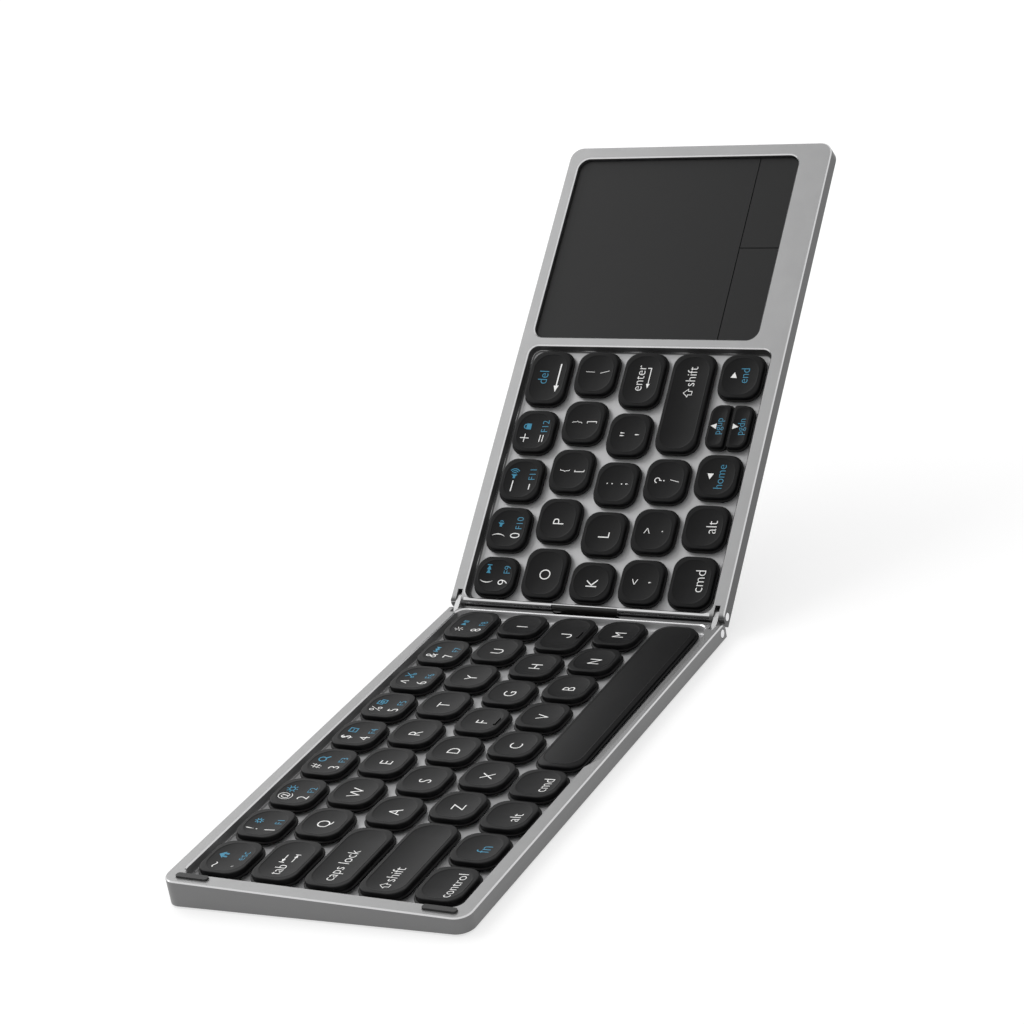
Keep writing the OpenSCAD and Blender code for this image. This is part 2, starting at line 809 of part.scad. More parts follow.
// ---- Hinge: a link on two pins at the front and at the back
module hinge_link() {
    in_left() at_left_pin() rotate([0, -link_raise, 0])
        translate([0, $link_y, 0]) rotate([-90, 0, 0]) difference() {
            union() {
                cylinder(h = link_t, r = link_r);
                translate([link_pitch, 0, 0]) cylinder(h = link_t, r = link_r);
                translate([0, -link_r, 0]) cube([link_pitch, 2 * link_r, link_t]);
            }
            for (x = [0, link_pitch]) translate([x, 0, -over])
                cylinder(h = link_t + 2 * over, r = pin_r + pin_play);
        }
}

module front_hinge_link() {
    $link_y = slot_y0 + slot_play;
    color(SILVER) hinge_link();
}

module back_hinge_link() {
    $link_y = panel_d - slot_y0 - slot_play - link_t;
    color(SILVER) hinge_link();
}

// The ribbon from one support plate to the other, along four points seen from the front
flex_in = 12;
flex_out = 2;
flex_w = 20;
flex_y0 = window_y0 + (window_w - flex_w) / 2;
flex_mid_z = flex_z + flex_t / 2 - slip;
function from_right(u, z) =
    [left_len + pin_run + u * cos(right_raise) - (z + pin_depth) * sin(right_raise),
     -pin_depth + pin_rise + u * sin(right_raise) + (z + pin_depth) * cos(right_raise)];
FLEX_POINTS = [[left_len - flex_in, flex_mid_z], [left_len + flex_out, flex_mid_z],
               from_right(-flex_out, flex_mid_z), from_right(flex_in, flex_mid_z)];
module hinge_flex_cable() {
    color(BLACK) in_left() translate([0, flex_y0 + flex_w, 0]) rotate([90, 0, 0])
        linear_extrude(flex_w) for (i = [0 : 2])
            let (a = FLEX_POINTS[i], b = FLEX_POINTS[i + 1], run = b - a) {
                translate(a) rotate(atan2(run[1], run[0])) translate([0, -flex_t / 2])
                    square([norm(run), flex_t]);
                translate(a) circle(flex_t / 2, $fn = 16);
            }
}

// The strip that covers the cable's window, inside the right half's rounded end
guide_sink = 0.25;
guide_z0 = -3;
module cable_guide() {
    color(BLACK) in_right() intersection() {
        translate([0, window_y0 + slip, -pin_depth]) rotate([-90, 0, 0])
            cylinder(h = window_w - 2 * slip, r = pin_depth - guide_sink);
        translate([-pin_depth, window_y0, guide_z0])
            cube([pin_depth - window_in - slip, window_w, -guide_z0]);
    }
}

// ---- Right half
pad_board_t = 0.8;
pad_gap = 0.3;
click_t = button_travel + 0.1;
pad_ledge = 3;
pad_floor = web_z + web_t;
pad_board_z = pad_floor;
pad_split_y = pad_y0 + button_d;
line_w = 0.3;
button_t = -pad_drop - click_t - pad_board_z - pad_board_t;

module right_top_case() {
    color(SILVER) in_right() difference() {
        plain_case(right_len, right_end_rim);
        well(-well_past_pin, right_well_end);
        web_openings(RIGHT_ROWS, true);
        rounded_box(pad_x0, pad_x1, pad_y0, pad_y1, pad_r, pad_floor, over);
        rounded_box(pad_x0 + pad_ledge, pad_x1 - pad_ledge, pad_y0 + pad_ledge,
                    pad_y1 - pad_ledge, 1, web_z - over, over);
        run_round(pad_x0, pad_x1, pad_y0, pad_y1, pad_r) inner_chamfer();
    }
}

module right_bottom_cover() {
    color(SILVER) in_right() cover(right_len);
}

module right_key_membrane() {
    color("tan") in_right()
        sheet(right_well_end, membrane_z, membrane_t);
}

module right_support_plate() {
    color("lightgray") in_right()
        sheet(right_well_end, plate_z, plate_t);
}

module right_rubber_domes() {
    color("white") in_right() domes(RIGHT_ROWS, true);
}

module right_scissor_levers() {
    color("ivory") in_right() levers(RIGHT_ROWS, true);
}

// The touchpad recess's shape, shrunk by gap, between y0 and y1
module pad_shape(gap, y0, y1) {
    intersection() {
        rounded(pad_x0 + gap, pad_x1 - gap, pad_y0 + gap, pad_y1 - gap, pad_r - gap);
        translate([pad_x0, y0]) square([pad_w, y1 - y0]);
    }
}

module touchpad_board() {
    color("darkgreen") in_right() translate([0, 0, pad_board_z]) linear_extrude(pad_board_t)
        pad_shape(slip, pad_y0, pad_y1);
}

// The touch surface lies on the board, and the click buttons in front of it on the domes
module touchpad_surface() {
    color(CHARCOAL) in_right() translate([0, 0, pad_board_z + pad_board_t])
        linear_extrude(-pad_drop - pad_board_z - pad_board_t)
            pad_shape(pad_gap, pad_split_y + line_w / 2, pad_y1);
}

button_split = (pad_x0 + pad_x1) / 2;
module click_button(x0, x1) {
    translate([0, 0, -pad_drop - button_t]) linear_extrude(button_t) intersection() {
        pad_shape(pad_gap, pad_y0, pad_split_y - line_w / 2);
        translate([x0, pad_y0]) square([x1 - x0, button_d]);
    }
}

module left_click_button() {
    color(CHARCOAL) in_right() click_button(pad_x0, button_split - line_w / 2);
}

module right_click_button() {
    color(CHARCOAL) in_right() click_button(button_split + line_w / 2, pad_x1);
}

click_dome_r = 2.5;
click_dome_top = 1.2;
module click_domes() {
    color("silver") in_right() for (x = [pad_x0 + pad_w / 4, pad_x1 - pad_w / 4])
        translate([x, pad_y0 + button_d / 2, pad_board_z + pad_board_t])
            cylinder(h = click_t, r1 = click_dome_r, r2 = click_dome_top);
}

module right_feet() {
    color(BLACK) in_right() feet(right_len);
}

module right_screws() {
    color("gray") in_right() screws(right_len);
}

module right_magnets() {
    color("silver") in_right() magnets(right_len);
}

module right_hinge_pins() {
    color("silver") in_right() pins();
}

// ---- Keys of the left half, row by row from the back
module key_esc() { color(BLACK) in_left() keys(LEFT_ROWS, 0, 0, 0); }
module keys_1_to_8() { color(BLACK) in_left() keys(LEFT_ROWS, 0, 1, 8); }
module key_tab() { color(BLACK) in_left() keys(LEFT_ROWS, 1, 0, 0); }
module keys_q_to_i() { color(BLACK) in_left() keys(LEFT_ROWS, 1, 1, 8); }
module key_caps_lock() { color(BLACK) in_left() keys(LEFT_ROWS, 2, 0, 0); }
module keys_a_to_j() {
    color(BLACK) in_left() {
        keys(LEFT_ROWS, HOME_ROW, 1, 7);
        home_bars();
    }
}
module key_left_shift() { color(BLACK) in_left() keys(LEFT_ROWS, 3, 0, 0); }
module keys_z_to_m() { color(BLACK) in_left() keys(LEFT_ROWS, 3, 1, 7); }
module key_control() { color(BLACK) in_left() keys(LEFT_ROWS, 4, 0, 0); }
module key_fn() { color(BLACK) in_left() keys(LEFT_ROWS, 4, 1, 1); }
module key_left_alt() { color(BLACK) in_left() keys(LEFT_ROWS, 4, 2, 2); }
module key_left_cmd() { color(BLACK) in_left() keys(LEFT_ROWS, 4, 3, 3); }
module key_space() { color(BLACK) in_left() space_bar(); }

// ---- Keys of the right half
module keys_9_to_equals() { color(BLACK) in_right() keys(RIGHT_ROWS, 0, 0, 3); }
module key_backspace() { color(BLACK) in_right() keys(RIGHT_ROWS, 0, 4, 4); }
module keys_o_to_backslash() { color(BLACK) in_right() keys(RIGHT_ROWS, 1, 0, 4); }
module keys_k_to_quote() { color(BLACK) in_right() keys(RIGHT_ROWS, 2, 0, 3); }
module key_enter() { color(BLACK) in_right() keys(RIGHT_ROWS, 2, 4, 4); }
module keys_comma_to_slash() { color(BLACK) in_right() keys(RIGHT_ROWS, 3, 0, 2); }
module key_right_shift() { color(BLACK) in_right() keys(RIGHT_ROWS, 3, 3, 3); }
module key_right_cmd() { color(BLACK) in_right() keys(RIGHT_ROWS, 4, 0, 0); }
module key_right_alt() { color(BLACK) in_right() keys(RIGHT_ROWS, 4, 1, 1); }
module key_arrow_left() { color(BLACK) in_right() keys(RIGHT_ROWS, 4, 2, 2); }
module key_arrow_up() { color(BLACK) in_right() half_cap(split_y + split_gap, panel_d); }
module key_arrow_down() { color(BLACK) in_right() half_cap(0, split_y); }
module key_arrow_right() { color(BLACK) in_right() keys(RIGHT_ROWS, 4, 4, 4); }

left_top_case();
left_bottom_cover();
left_key_membrane();
left_support_plate();
left_rubber_domes();
left_scissor_levers();
battery();
main_board();
usb_c_port();
left_bumpers();
left_feet();
left_screws();
left_magnets();
left_hinge_pins();
front_hinge_link();
back_hinge_link();
hinge_flex_cable();
cable_guide();
right_top_case();
right_bottom_cover();
right_key_membrane();
right_support_plate();
right_rubber_domes();
right_scissor_levers();
touchpad_surface();
touchpad_board();
left_click_button();
right_click_button();
click_domes();
right_feet();
right_screws();
right_magnets();
right_hinge_pins();
key_esc();
keys_1_to_8();
key_tab();
keys_q_to_i();
key_caps_lock();
keys_a_to_j();
key_left_shift();
keys_z_to_m();
key_control();
key_fn();
key_left_alt();
key_left_cmd();
key_space();
keys_9_to_equals();
key_backspace();
keys_o_to_backslash();
keys_k_to_quote();
key_enter();
keys_comma_to_slash();
key_right_shift();
key_right_cmd();
key_right_alt();
key_arrow_left();
key_arrow_up();
key_arrow_down();
key_arrow_right();
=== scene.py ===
"""Looks of a folding keyboard: two wedge-shaped aluminium halves on a two-pin link hinge, black
dished keys with white and blue legends, and a touchpad in the raised half.

Sizes are in millimetres on a half's own panel, which lies flat with its top face at z = 0, its
front edge (the space bar side) at y = 0 and x running along its length. The pin line of the left
panel is at x = LEFT_LEN, that of the right panel at x = 0. Meshes are in metres."""
import json
import math

import bpy
import numpy as np
from mathutils import Euler, Matrix, Vector


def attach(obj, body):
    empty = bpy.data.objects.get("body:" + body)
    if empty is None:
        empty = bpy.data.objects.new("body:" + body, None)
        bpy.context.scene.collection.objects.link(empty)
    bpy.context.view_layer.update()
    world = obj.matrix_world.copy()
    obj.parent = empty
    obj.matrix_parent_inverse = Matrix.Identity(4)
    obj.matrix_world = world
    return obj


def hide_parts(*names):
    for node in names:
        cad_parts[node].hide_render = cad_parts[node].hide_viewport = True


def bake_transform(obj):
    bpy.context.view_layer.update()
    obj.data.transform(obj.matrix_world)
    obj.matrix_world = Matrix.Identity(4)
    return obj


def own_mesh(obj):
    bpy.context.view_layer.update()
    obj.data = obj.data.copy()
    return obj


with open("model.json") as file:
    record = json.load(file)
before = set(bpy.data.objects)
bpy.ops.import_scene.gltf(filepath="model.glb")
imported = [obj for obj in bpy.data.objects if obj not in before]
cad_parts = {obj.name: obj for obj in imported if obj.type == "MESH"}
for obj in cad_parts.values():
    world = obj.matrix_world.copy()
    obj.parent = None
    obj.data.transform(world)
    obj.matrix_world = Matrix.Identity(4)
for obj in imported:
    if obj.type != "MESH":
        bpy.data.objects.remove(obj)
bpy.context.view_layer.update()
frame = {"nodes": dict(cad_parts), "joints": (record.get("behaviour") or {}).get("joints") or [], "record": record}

MM = 0.001

# ---- Sizes that the looks share with the part's source
KEY_W, KEY_D = 15.0, 14.3
GAP_X, GAP_Y = 2.6, 2.85
PITCH_X, PITCH_Y = KEY_W + GAP_X, KEY_D + GAP_Y
KEY_R = 4.4
CAP_H = 2.1
CAP_UNDER = 1.05
CAP_WALL = 1.0
LIP_H, LIP_OUT = 0.6, 0.55
DISH_RIM, DISH_DEPTH = 1.1, 0.45
FRONT_KEYS_Y = 6.3
LEFT_KEYS_X0, LEFT_KEYS_X1 = 6.9, 166.8
RIGHT_KEYS_X0, RIGHT_KEYS_X1 = 1.3, 89.2
PANEL_D = 96.0
PANEL_RISE = 3.2               # how much higher a half's back edge lies than its front edge
PIN_DEPTH = 2.5
LEFT_LEN = 168.1
TILT = math.atan(PANEL_RISE / PANEL_D)
RAISE = math.radians(40)
SPLIT_GAP = 1.2


def joint_at(name):
    """The place of a joint, as the frame gives it."""
    return Vector(next(j for j in frame["joints"] if j["name"] == name)["pos_m"])


def pin_place(joint, turn, pin_x):
    """From a panel's own millimetres to the object: the panel's pin line goes to the joint."""
    own = Matrix.Translation((-pin_x, -PANEL_D / 2, PIN_DEPTH))
    return (Matrix.Translation(joint_at(joint)) @ Matrix.Rotation(TILT, 4, "X")
            @ Matrix.Rotation(-turn, 4, "Y") @ Matrix.Scale(MM, 4) @ own)


LEFT = np.array(pin_place("left_pin_fold", 0, LEFT_LEN))
RIGHT = np.array(pin_place("right_pin_fold", RAISE, 0))


# ---- Materials
NOISE_MIDDLE = (0.3, 0.7)      # most of a noise's values lie between these
NOISE_DETAIL = 2.0
GRAIN_HEIGHT = 0.25            # height of the grain's lumps against their size


def nodes_of(name):
    """A new material, its node tree and its shader."""
    material = bpy.data.materials.new(name)
    material.use_nodes = True
    tree = material.node_tree
    return material, tree, tree.nodes["Principled BSDF"]


def noise(tree, size, stretch=(1, 1, 1)):
    """Noise on the object's own coordinates. Its lumps are about size millimetres, divided by
    stretch along each axis."""
    coords = tree.nodes.new("ShaderNodeTexCoord")
    mapping = tree.nodes.new("ShaderNodeMapping")
    mapping.inputs["Scale"].default_value = [s / (size * MM) for s in stretch]
    texture = tree.nodes.new("ShaderNodeTexNoise")
    texture.inputs["Scale"].default_value = 1.0
    texture.inputs["Detail"].default_value = NOISE_DETAIL
    tree.links.new(coords.outputs["Object"], mapping.inputs["Vector"])
    tree.links.new(mapping.outputs["Vector"], texture.inputs["Vector"])
    return texture.outputs["Fac"]


def ramp(tree, value, start, end, low=0.0, high=1.0):
    """From low, where the value is at start, to high, where it is at end."""
    node = tree.nodes.new("ShaderNodeMapRange")
    for socket, number in (("From Min", start), ("From Max", end), ("To Min", low),
                           ("To Max", high)):
        node.inputs[socket].default_value = number
    tree.links.new(value, node.inputs["Value"])
    return node.outputs["Result"]


def spread(tree, value, low, high):
    """Maps the middle of a noise onto the range from low to high."""
    return ramp(tree, value, *NOISE_MIDDLE, low, high)


def math_node(tree, operation, *values):
    """One step of arithmetic on numbers or outputs."""
    node = tree.nodes.new("ShaderNodeMath")
    node.operation = operation
    for n, value in enumerate(values):
        if isinstance(value, (int, float)):
            node.inputs[n].default_value = value
        else:
            tree.links.new(value, node.inputs[n])
    return node.outputs["Value"]


def blend(tree, kind, factor, a, b):
    """Mixes a and b, numbers or colours, each a value or an output."""
    node = tree.nodes.new("ShaderNodeMix")
    node.data_type = kind
    for socket, value in (("Factor", factor), ("A", a), ("B", b)):
        if isinstance(value, bpy.types.NodeSocket):
            tree.links.new(value, node.inputs[socket])
        else:
            node.inputs[socket].default_value = value
    return node.outputs["Result"]


def finish(name, colour, rough, grain, metallic=0.0, bump=0.1, vary=0.06, stretch=(1, 1, 1),
           blotch=9.0, coat=0.0, specular=0.5):
    """A finish: fine grain in bump and roughness, and a faint change of colour in wide
    blotches. The sizes of grain and blotches are in millimetres."""
    material, tree, shader = nodes_of(name)
    fine = noise(tree, grain, stretch)
    wide = noise(tree, blotch)
    dark = [c * (1 - vary) for c in colour]
    light = [min(1.0, c * (1 + vary)) for c in colour]
    shade = blend(tree, "RGBA", spread(tree, wide, 0, 1), (*dark, 1), (*light, 1))
    tree.links.new(shade, shader.inputs["Base Color"])
    tree.links.new(spread(tree, fine, *rough), shader.inputs["Roughness"])
    relief = tree.nodes.new("ShaderNodeBump")
    relief.inputs["Strength"].default_value = bump
    relief.inputs["Distance"].default_value = GRAIN_HEIGHT * grain * MM
    tree.links.new(fine, relief.inputs["Height"])
    tree.links.new(relief.outputs["Normal"], shader.inputs["Normal"])
    shader.inputs["Metallic"].default_value = metallic
    shader.inputs["Coat Weight"].default_value = coat
    shader.inputs["Specular IOR Level"].default_value = specular
    return material


def dot_with(tree, vector, row):
    """The dot product of a vector output and three numbers."""
    node = tree.nodes.new("ShaderNodeVectorMath")
    node.operation = "DOT_PRODUCT"
    node.inputs[1].default_value = row
    tree.links.new(vector, node.inputs[0])
    return node.outputs["Value"]


def within(tree, x, y, x0, x1, y0, y1):
    """1 inside a rectangle of the panel, 0 outside it."""
    across = math_node(tree, "COMPARE", x, (x0 + x1) / 2, (x1 - x0) / 2)
    deep = math_node(tree, "COMPARE", y, (y0 + y1) / 2, (y1 - y0) / 2)
    return math_node(tree, "MULTIPLY", across, deep)


# Cosines that tell the case's faces apart; of a pair, the first is for none and the second for all
CHAMFER_DOT = math.cos(math.radians(45))
CHAMFER_OFF = (0.02, 0.012)    # how far a chamfer's cosine with the panel's normal is from that
FLAT = (0.9, 0.98)             # a flat face's cosine with the panel's normal
END_WALL = (0.2, 0.5)          # an end wall's cosine with the panel's length
BELOW_TOP = -0.005             # what is lower than this lies below the top face
CASE_METAL, HOLLOW_METAL = 0.45, 0.2
CUT_ROUGH = 0.24               # roughness of the chamfers, the crest and the nose
# Colours of the bright chamfers and the crest's painted highlight, of the hollow's painted light, and of the
# nose's painted shade
CHAMFER_SILVER_AND_CREST_HIGHLIGHT, HOLLOW_PAINTED_LIGHT, NOSE_PAINTED_SHADE = (0.62, 0.62, 0.625), (0.5, 0.5, 0.505), (0.08, 0.08, 0.081)


def machined_with_painted_light(name, top, side, walls, place, hollow, crest, nose):
    """The case metal with painted light and shade: blasted faces, whose sides are darker than the top as painted
    shade, bright chamfers left by cutting, and hollow floors made bright as painted light; at the hinge a rounded
    nose with a painted highlight on its crest and painted shade below. The hollow, the crest and the nose are
    rectangles of the panel (x0, x1, y0, y1). Of the hollow and the nose, only what lies below the top face counts.
    The hollow's walls have one colour where they face along the panel and another where they face across it,
    painted light and shade by the way they face."""
    material = finish(name, top, metallic=CASE_METAL, rough=(0.32, 0.42), grain=0.13, bump=0.16,
                      vary=0.03)
    tree = material.node_tree
    shader = tree.nodes["Principled BSDF"]
    coords = tree.nodes.new("ShaderNodeTexCoord")
    along, _, level = [dot_with(tree, coords.outputs["Normal"], axis / np.linalg.norm(axis))
                       for axis in place[:3, :3].T]
    end_wall = ramp(tree, math_node(tree, "ABSOLUTE", along), *END_WALL)
    flat = ramp(tree, math_node(tree, "ABSOLUTE", level), *FLAT)
    off = math_node(tree, "SUBTRACT", level, CHAMFER_DOT)
    chamfer_and_crest_highlight = ramp(tree, math_node(tree, "ABSOLUTE", off), *CHAMFER_OFF)
    x, y, z = [math_node(tree, "ADD", dot_with(tree, coords.outputs["Object"], row[:3]), row[3])
               for row in np.linalg.inv(place)[:3]]
    low = math_node(tree, "LESS_THAN", z, BELOW_TOP)
    # The crest gets the chamfers' bright colour as a painted highlight
    chamfer_and_crest_highlight = math_node(tree, "MAXIMUM", chamfer_and_crest_highlight, within(tree, x, y, *crest))
    inner = math_node(tree, "MULTIPLY", within(tree, x, y, *hollow), low)
    tip = math_node(tree, "MULTIPLY", within(tree, x, y, *nose), low)
    # Painted shade: faces tilted away from the top face take the darker side colour
    faces = blend(tree, "RGBA", flat, (*side, 1), shader.inputs["Base Color"].links[0].from_socket)
    # Painted light and shade in the hollow: a bright floor, and walls whose brightness is set by the way they face
    wall = blend(tree, "RGBA", end_wall, (*walls[1], 1), (*walls[0], 1))
    hollow_painted_light_and_shade = blend(tree, "RGBA", flat, wall, (*HOLLOW_PAINTED_LIGHT, 1))
    faces = blend(tree, "RGBA", inner, faces, hollow_painted_light_and_shade)
    # Painted shade on the nose below the crest
    faces = blend(tree, "RGBA", tip, faces, (*NOSE_PAINTED_SHADE, 1))
    # Bright chamfers, and the painted highlight on the crest
    tree.links.new(blend(tree, "RGBA", chamfer_and_crest_highlight, faces, (*CHAMFER_SILVER_AND_CREST_HIGHLIGHT, 1)), shader.inputs["Base Color"])
    smooth = math_node(tree, "MAXIMUM", tip, chamfer_and_crest_highlight)
    grain = shader.inputs["Roughness"].links[0].from_socket
    tree.links.new(blend(tree, "FLOAT", smooth, grain, CUT_ROUGH), shader.inputs["Roughness"])
    metal = blend(tree, "FLOAT", inner, CASE_METAL, HOLLOW_METAL)
    tree.links.new(blend(tree, "FLOAT", smooth, metal, 1.0), shader.inputs["Metallic"])
    return material


# A hinge end's crest carries a painted highlight and its nose painted shade
# How far past its pin line a hinge end's crest starts, its nose follows, and both have ended
CREST_FROM, NOSE_FROM, NOSE_TO = 0.25, 1.1, 3.0
CREST_Y, NOSE_Y = (5.0, 91.4), (5.0, 91.0)
LEFT_HOLLOW, RIGHT_HOLLOW = (5.0, 168.4, 4.5, 91.8), (-0.2, 163.9, 4.5, 92.1)
# Painted shade on the hollow's walls that face across the panel, and on the right half's end walls too
LEFT_WALL_PAINTED_SHADE, RIGHT_WALL_PAINTED_SHADE = (0.15, 0.15, 0.151), (0.06, 0.06, 0.061)
# The two cases are one metal: their different top colours, and sides darker than the tops, are painted light and
# shade, as are the left hollow's bright end walls
LEFT_CASE = machined_with_painted_light(
    "left case metal", (0.25, 0.25, 0.251), (0.2, 0.2, 0.201), (HOLLOW_PAINTED_LIGHT, LEFT_WALL_PAINTED_SHADE), LEFT,
    hollow=LEFT_HOLLOW, crest=(LEFT_LEN + CREST_FROM, LEFT_LEN + NOSE_FROM, *CREST_Y),
    nose=(LEFT_LEN + NOSE_FROM, LEFT_LEN + NOSE_TO, *NOSE_Y))
RIGHT_CASE = machined_with_painted_light(
    "right case metal", (0.3, 0.3, 0.302), (0.09, 0.09, 0.091), (RIGHT_WALL_PAINTED_SHADE, RIGHT_WALL_PAINTED_SHADE), RIGHT,
    hollow=RIGHT_HOLLOW, crest=(-NOSE_FROM, -CREST_FROM, *CREST_Y),
    nose=(-NOSE_TO, -NOSE_FROM, *NOSE_Y))
COVER = finish("silver painted cover", (0.42, 0.42, 0.43), metallic=0.6, rough=(0.42, 0.52),
               grain=0.2, bump=0.15, vary=0.015, blotch=40.0)
LINK = finish("link metal", (0.34, 0.34, 0.342), metallic=0.8, rough=(0.28, 0.38),
              grain=0.1, bump=0.08)
PIN = finish("polished pin steel", (0.8, 0.8, 0.81), metallic=1.0, rough=(0.08, 0.16),
             grain=0.2, bump=0.03)
KEY = finish("black key plastic", (0.005, 0.005, 0.0053), rough=(0.4, 0.47), grain=0.09,
             bump=0.05, vary=0.12, blotch=6.0, specular=0.1)
PAD = finish("charcoal touch film", (0.006, 0.006, 0.0062), rough=(0.4, 0.5), grain=0.1,
             bump=0.08, vary=0.05, blotch=30.0, specular=0.2)
RUBBER = finish("black rubber", (0.02, 0.02, 0.02), rough=(0.6, 0.75), grain=0.15, bump=0.3)
STEEL = finish("brushed steel", (0.5, 0.5, 0.5), metallic=1.0, rough=(0.28, 0.42), grain=0.15,
               stretch=(0.05, 1, 1), bump=0.2)
DOME = finish("milky dome rubber", (0.7, 0.7, 0.67), rough=(0.5, 0.65), grain=0.3)
LEVER = finish("white lever plastic", (0.6, 0.6, 0.57), rough=(0.4, 0.5), grain=0.2)
MEMBRANE = finish("clear membrane film", (0.45, 0.43, 0.36), rough=(0.25, 0.35), grain=0.3)
FOIL = finish("battery foil", (0.6, 0.6, 0.6), metallic=0.9, rough=(0.3, 0.5), grain=0.8,
              bump=0.3)
BOARD = finish("green circuit board", (0.01, 0.07, 0.03), rough=(0.3, 0.4), grain=0.25,
               bump=0.2, coat=0.4)
FLEX = finish("black flex film", (0.007, 0.0065, 0.006), rough=(0.3, 0.4), grain=0.2)
WHITE_INK = finish("white print", (0.88, 0.88, 0.87), rough=(0.5, 0.6), grain=0.08, vary=0.04)
BLUE_INK = finish("blue print", (0.02, 0.235, 0.385), rough=(0.5, 0.6), grain=0.08, vary=0.06)

# The finish of each material slot of the part; the right case has its own copy of the case metal, with its own
# painted light and shade
SLOT_FINISH = {
    "case": LEFT_CASE, "hinge_link": LINK, "bottom_cover": COVER, "membrane": MEMBRANE,
    "steel_plate": STEEL, "dome_rubber": DOME, "lever_plastic": LEVER, "battery_foil": FOIL,
    "circuit_board": BOARD, "port_steel": STEEL, "black_rubber": RUBBER, "screw_steel": STEEL,
    "magnet": PIN, "pin_chrome": PIN, "flex_film": FLEX, "touchpad": PAD, "click_steel": STEEL,
    "key_plastic": KEY}
for sub in frame["record"]["subparts"]:
    for material_slot in frame["nodes"][sub["node"]].material_slots:
        material_slot.material = SLOT_FINISH[sub["material_slot"]]
for material_slot in frame["nodes"]["right_top_case"].material_slots:
    material_slot.material = RIGHT_CASE


# ---- Meshes
SHARP_FROM = math.radians(35)  # an edge that turns by more than this stays sharp
SAME_PLACE = 6                 # decimals of a millimetre to which points of one place agree
ARC_STEPS = 9                  # points on a rounded corner


def piece(name, parts, place, body, replaces=()):
    """Joins parts, each (points in panel millimetres, faces, material), into one object that
    rides on a body, or on none where no body is given."""
    mesh = bpy.data.meshes.new(name)
    finishes = list(dict.fromkeys(material for _, _, material in parts))
    points, faces, picks = [], [], []
    for xyz, polygons, material in parts:
        start = sum(len(p) for p in points)
        points.append(xyz)
        faces += [[start + i for i in face] for face in polygons]
        picks += [finishes.index(material)] * len(polygons)
    xyz = np.vstack(points)
    mesh.from_pydata((xyz @ place[:3, :3].T + place[:3, 3]).tolist(), [], faces)
    for material in finishes:
        mesh.materials.append(material)
    mesh.polygons.foreach_set("material_index", picks)
    mesh.validate()
    mesh.shade_smooth()
    mesh.set_sharp_from_angle(angle=SHARP_FROM)
    obj = bpy.data.objects.new(name, mesh)
    bpy.context.scene.collection.objects.link(obj)
    if replaces:
        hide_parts(*replaces)
    if body:
        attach(obj, body)
    return obj


def ring_faces(rings, count):
    """Quads between neighbouring rings of count points each. They face outwards where the
    rings run anticlockwise, seen from above, and go outwards on top."""
    j, i = np.mgrid[0:rings - 1, 0:count]
    k = (i + 1) % count
    quads = np.stack([j * count + i, (j + 1) * count + i, (j + 1) * count + k, j * count + k], -1)
    return quads.reshape(-1, 4).tolist()


def weld(points, faces):
    """Makes points that lie in one place a single point, and drops the faces that this
    closes, so that a ring of no size becomes a pole."""
    kept, index = np.unique(np.round(points, SAME_PLACE), axis=0, return_inverse=True)
    index = index.reshape(-1)
    welded = [list(dict.fromkeys(index[face].tolist())) for face in faces]
    return kept, [face for face in welded if len(face) > 2]


def outline(half_x, half_y, radii):
    """A rectangle with round corners, anticlockwise from the right: each corner is a quarter
    circle about its own centre. half_x, half_y and the four radii (front right, back right,
    back left, front left) may be arrays with one entry per ring. Returns rings, points, 2."""
    turn = np.linspace(0, math.pi / 2, ARC_STEPS)
    corners = []
    for n, (sx, sy) in enumerate([(1, -1), (1, 1), (-1, 1), (-1, -1)]):
        r = np.minimum(radii[n], np.minimum(half_x, half_y))[:, None]
        angle = turn + (n - 1) * math.pi / 2
        corners.append(np.stack([sx * (half_x[:, None] - r) + r * np.cos(angle),
                                 sy * (half_y[:, None] - r) + r * np.sin(angle)], -1))
    return np.concatenate(corners, 1)


def inside(x, y, half_x, half_y, radius):
    """How far a point lies inside a rectangle with round corners: the radius, less the length
    of what sticks out past the corner centres, less what remains to the nearer side."""
    qx, qy = np.abs(x) - (half_x - radius), np.abs(y) - (half_y - radius)
    out = np.hypot(np.maximum(qx, 0), np.maximum(qy, 0))
    return radius - out - np.minimum(np.maximum(qx, qy), 0)


# ---- Key caps
DISH_R = 5.6                   # corner radius of a dish, where the key is wide enough
DISH_FLAT = 0.05               # how far a dish's corner radius stays below half its width
SMALL_R = 0.9                  # corner radius of the up and down keys where they meet
SMALL_DISH = dict(rim=0.8, dish_r=2.2, depth=0.3)  # their dishes
CORNER_MORE = 0.35             # a corner's share of a dish's radius is its share of KEY_R and this
TOP_EDGE = 0.3                 # radius of the edge between a cap's side and its top
BEAD, BEAD_OUT = 0.05, 0.18    # height and outer width of the fine bead between rim and dish
LIP_SHOULDER = 0.7             # share of the lip's width that its nearly flat shoulder takes
LIP_STEP = 0.02                # half of what the shoulder falls
LIP_EDGE = 0.14                # how far below the shoulder's middle the lip's side starts
BEVEL = 0.3                    # how far the space bar's rim falls towards its edge
CROWN = 0.387                  # how much lower the space bar's long edges are than its middle
# Where the rings of a cap lie: shares of the way from its dish's rim to the middle, and angles
# round its top edge
DISH_RINGS = np.array([1.0, 0.92, 0.8, 0.65, 0.5, 0.36, 0.24, 0.14, 0.07, 0.025, 0.0])
EDGE_RINGS = np.radians([90, 67, 45, 22, 0])


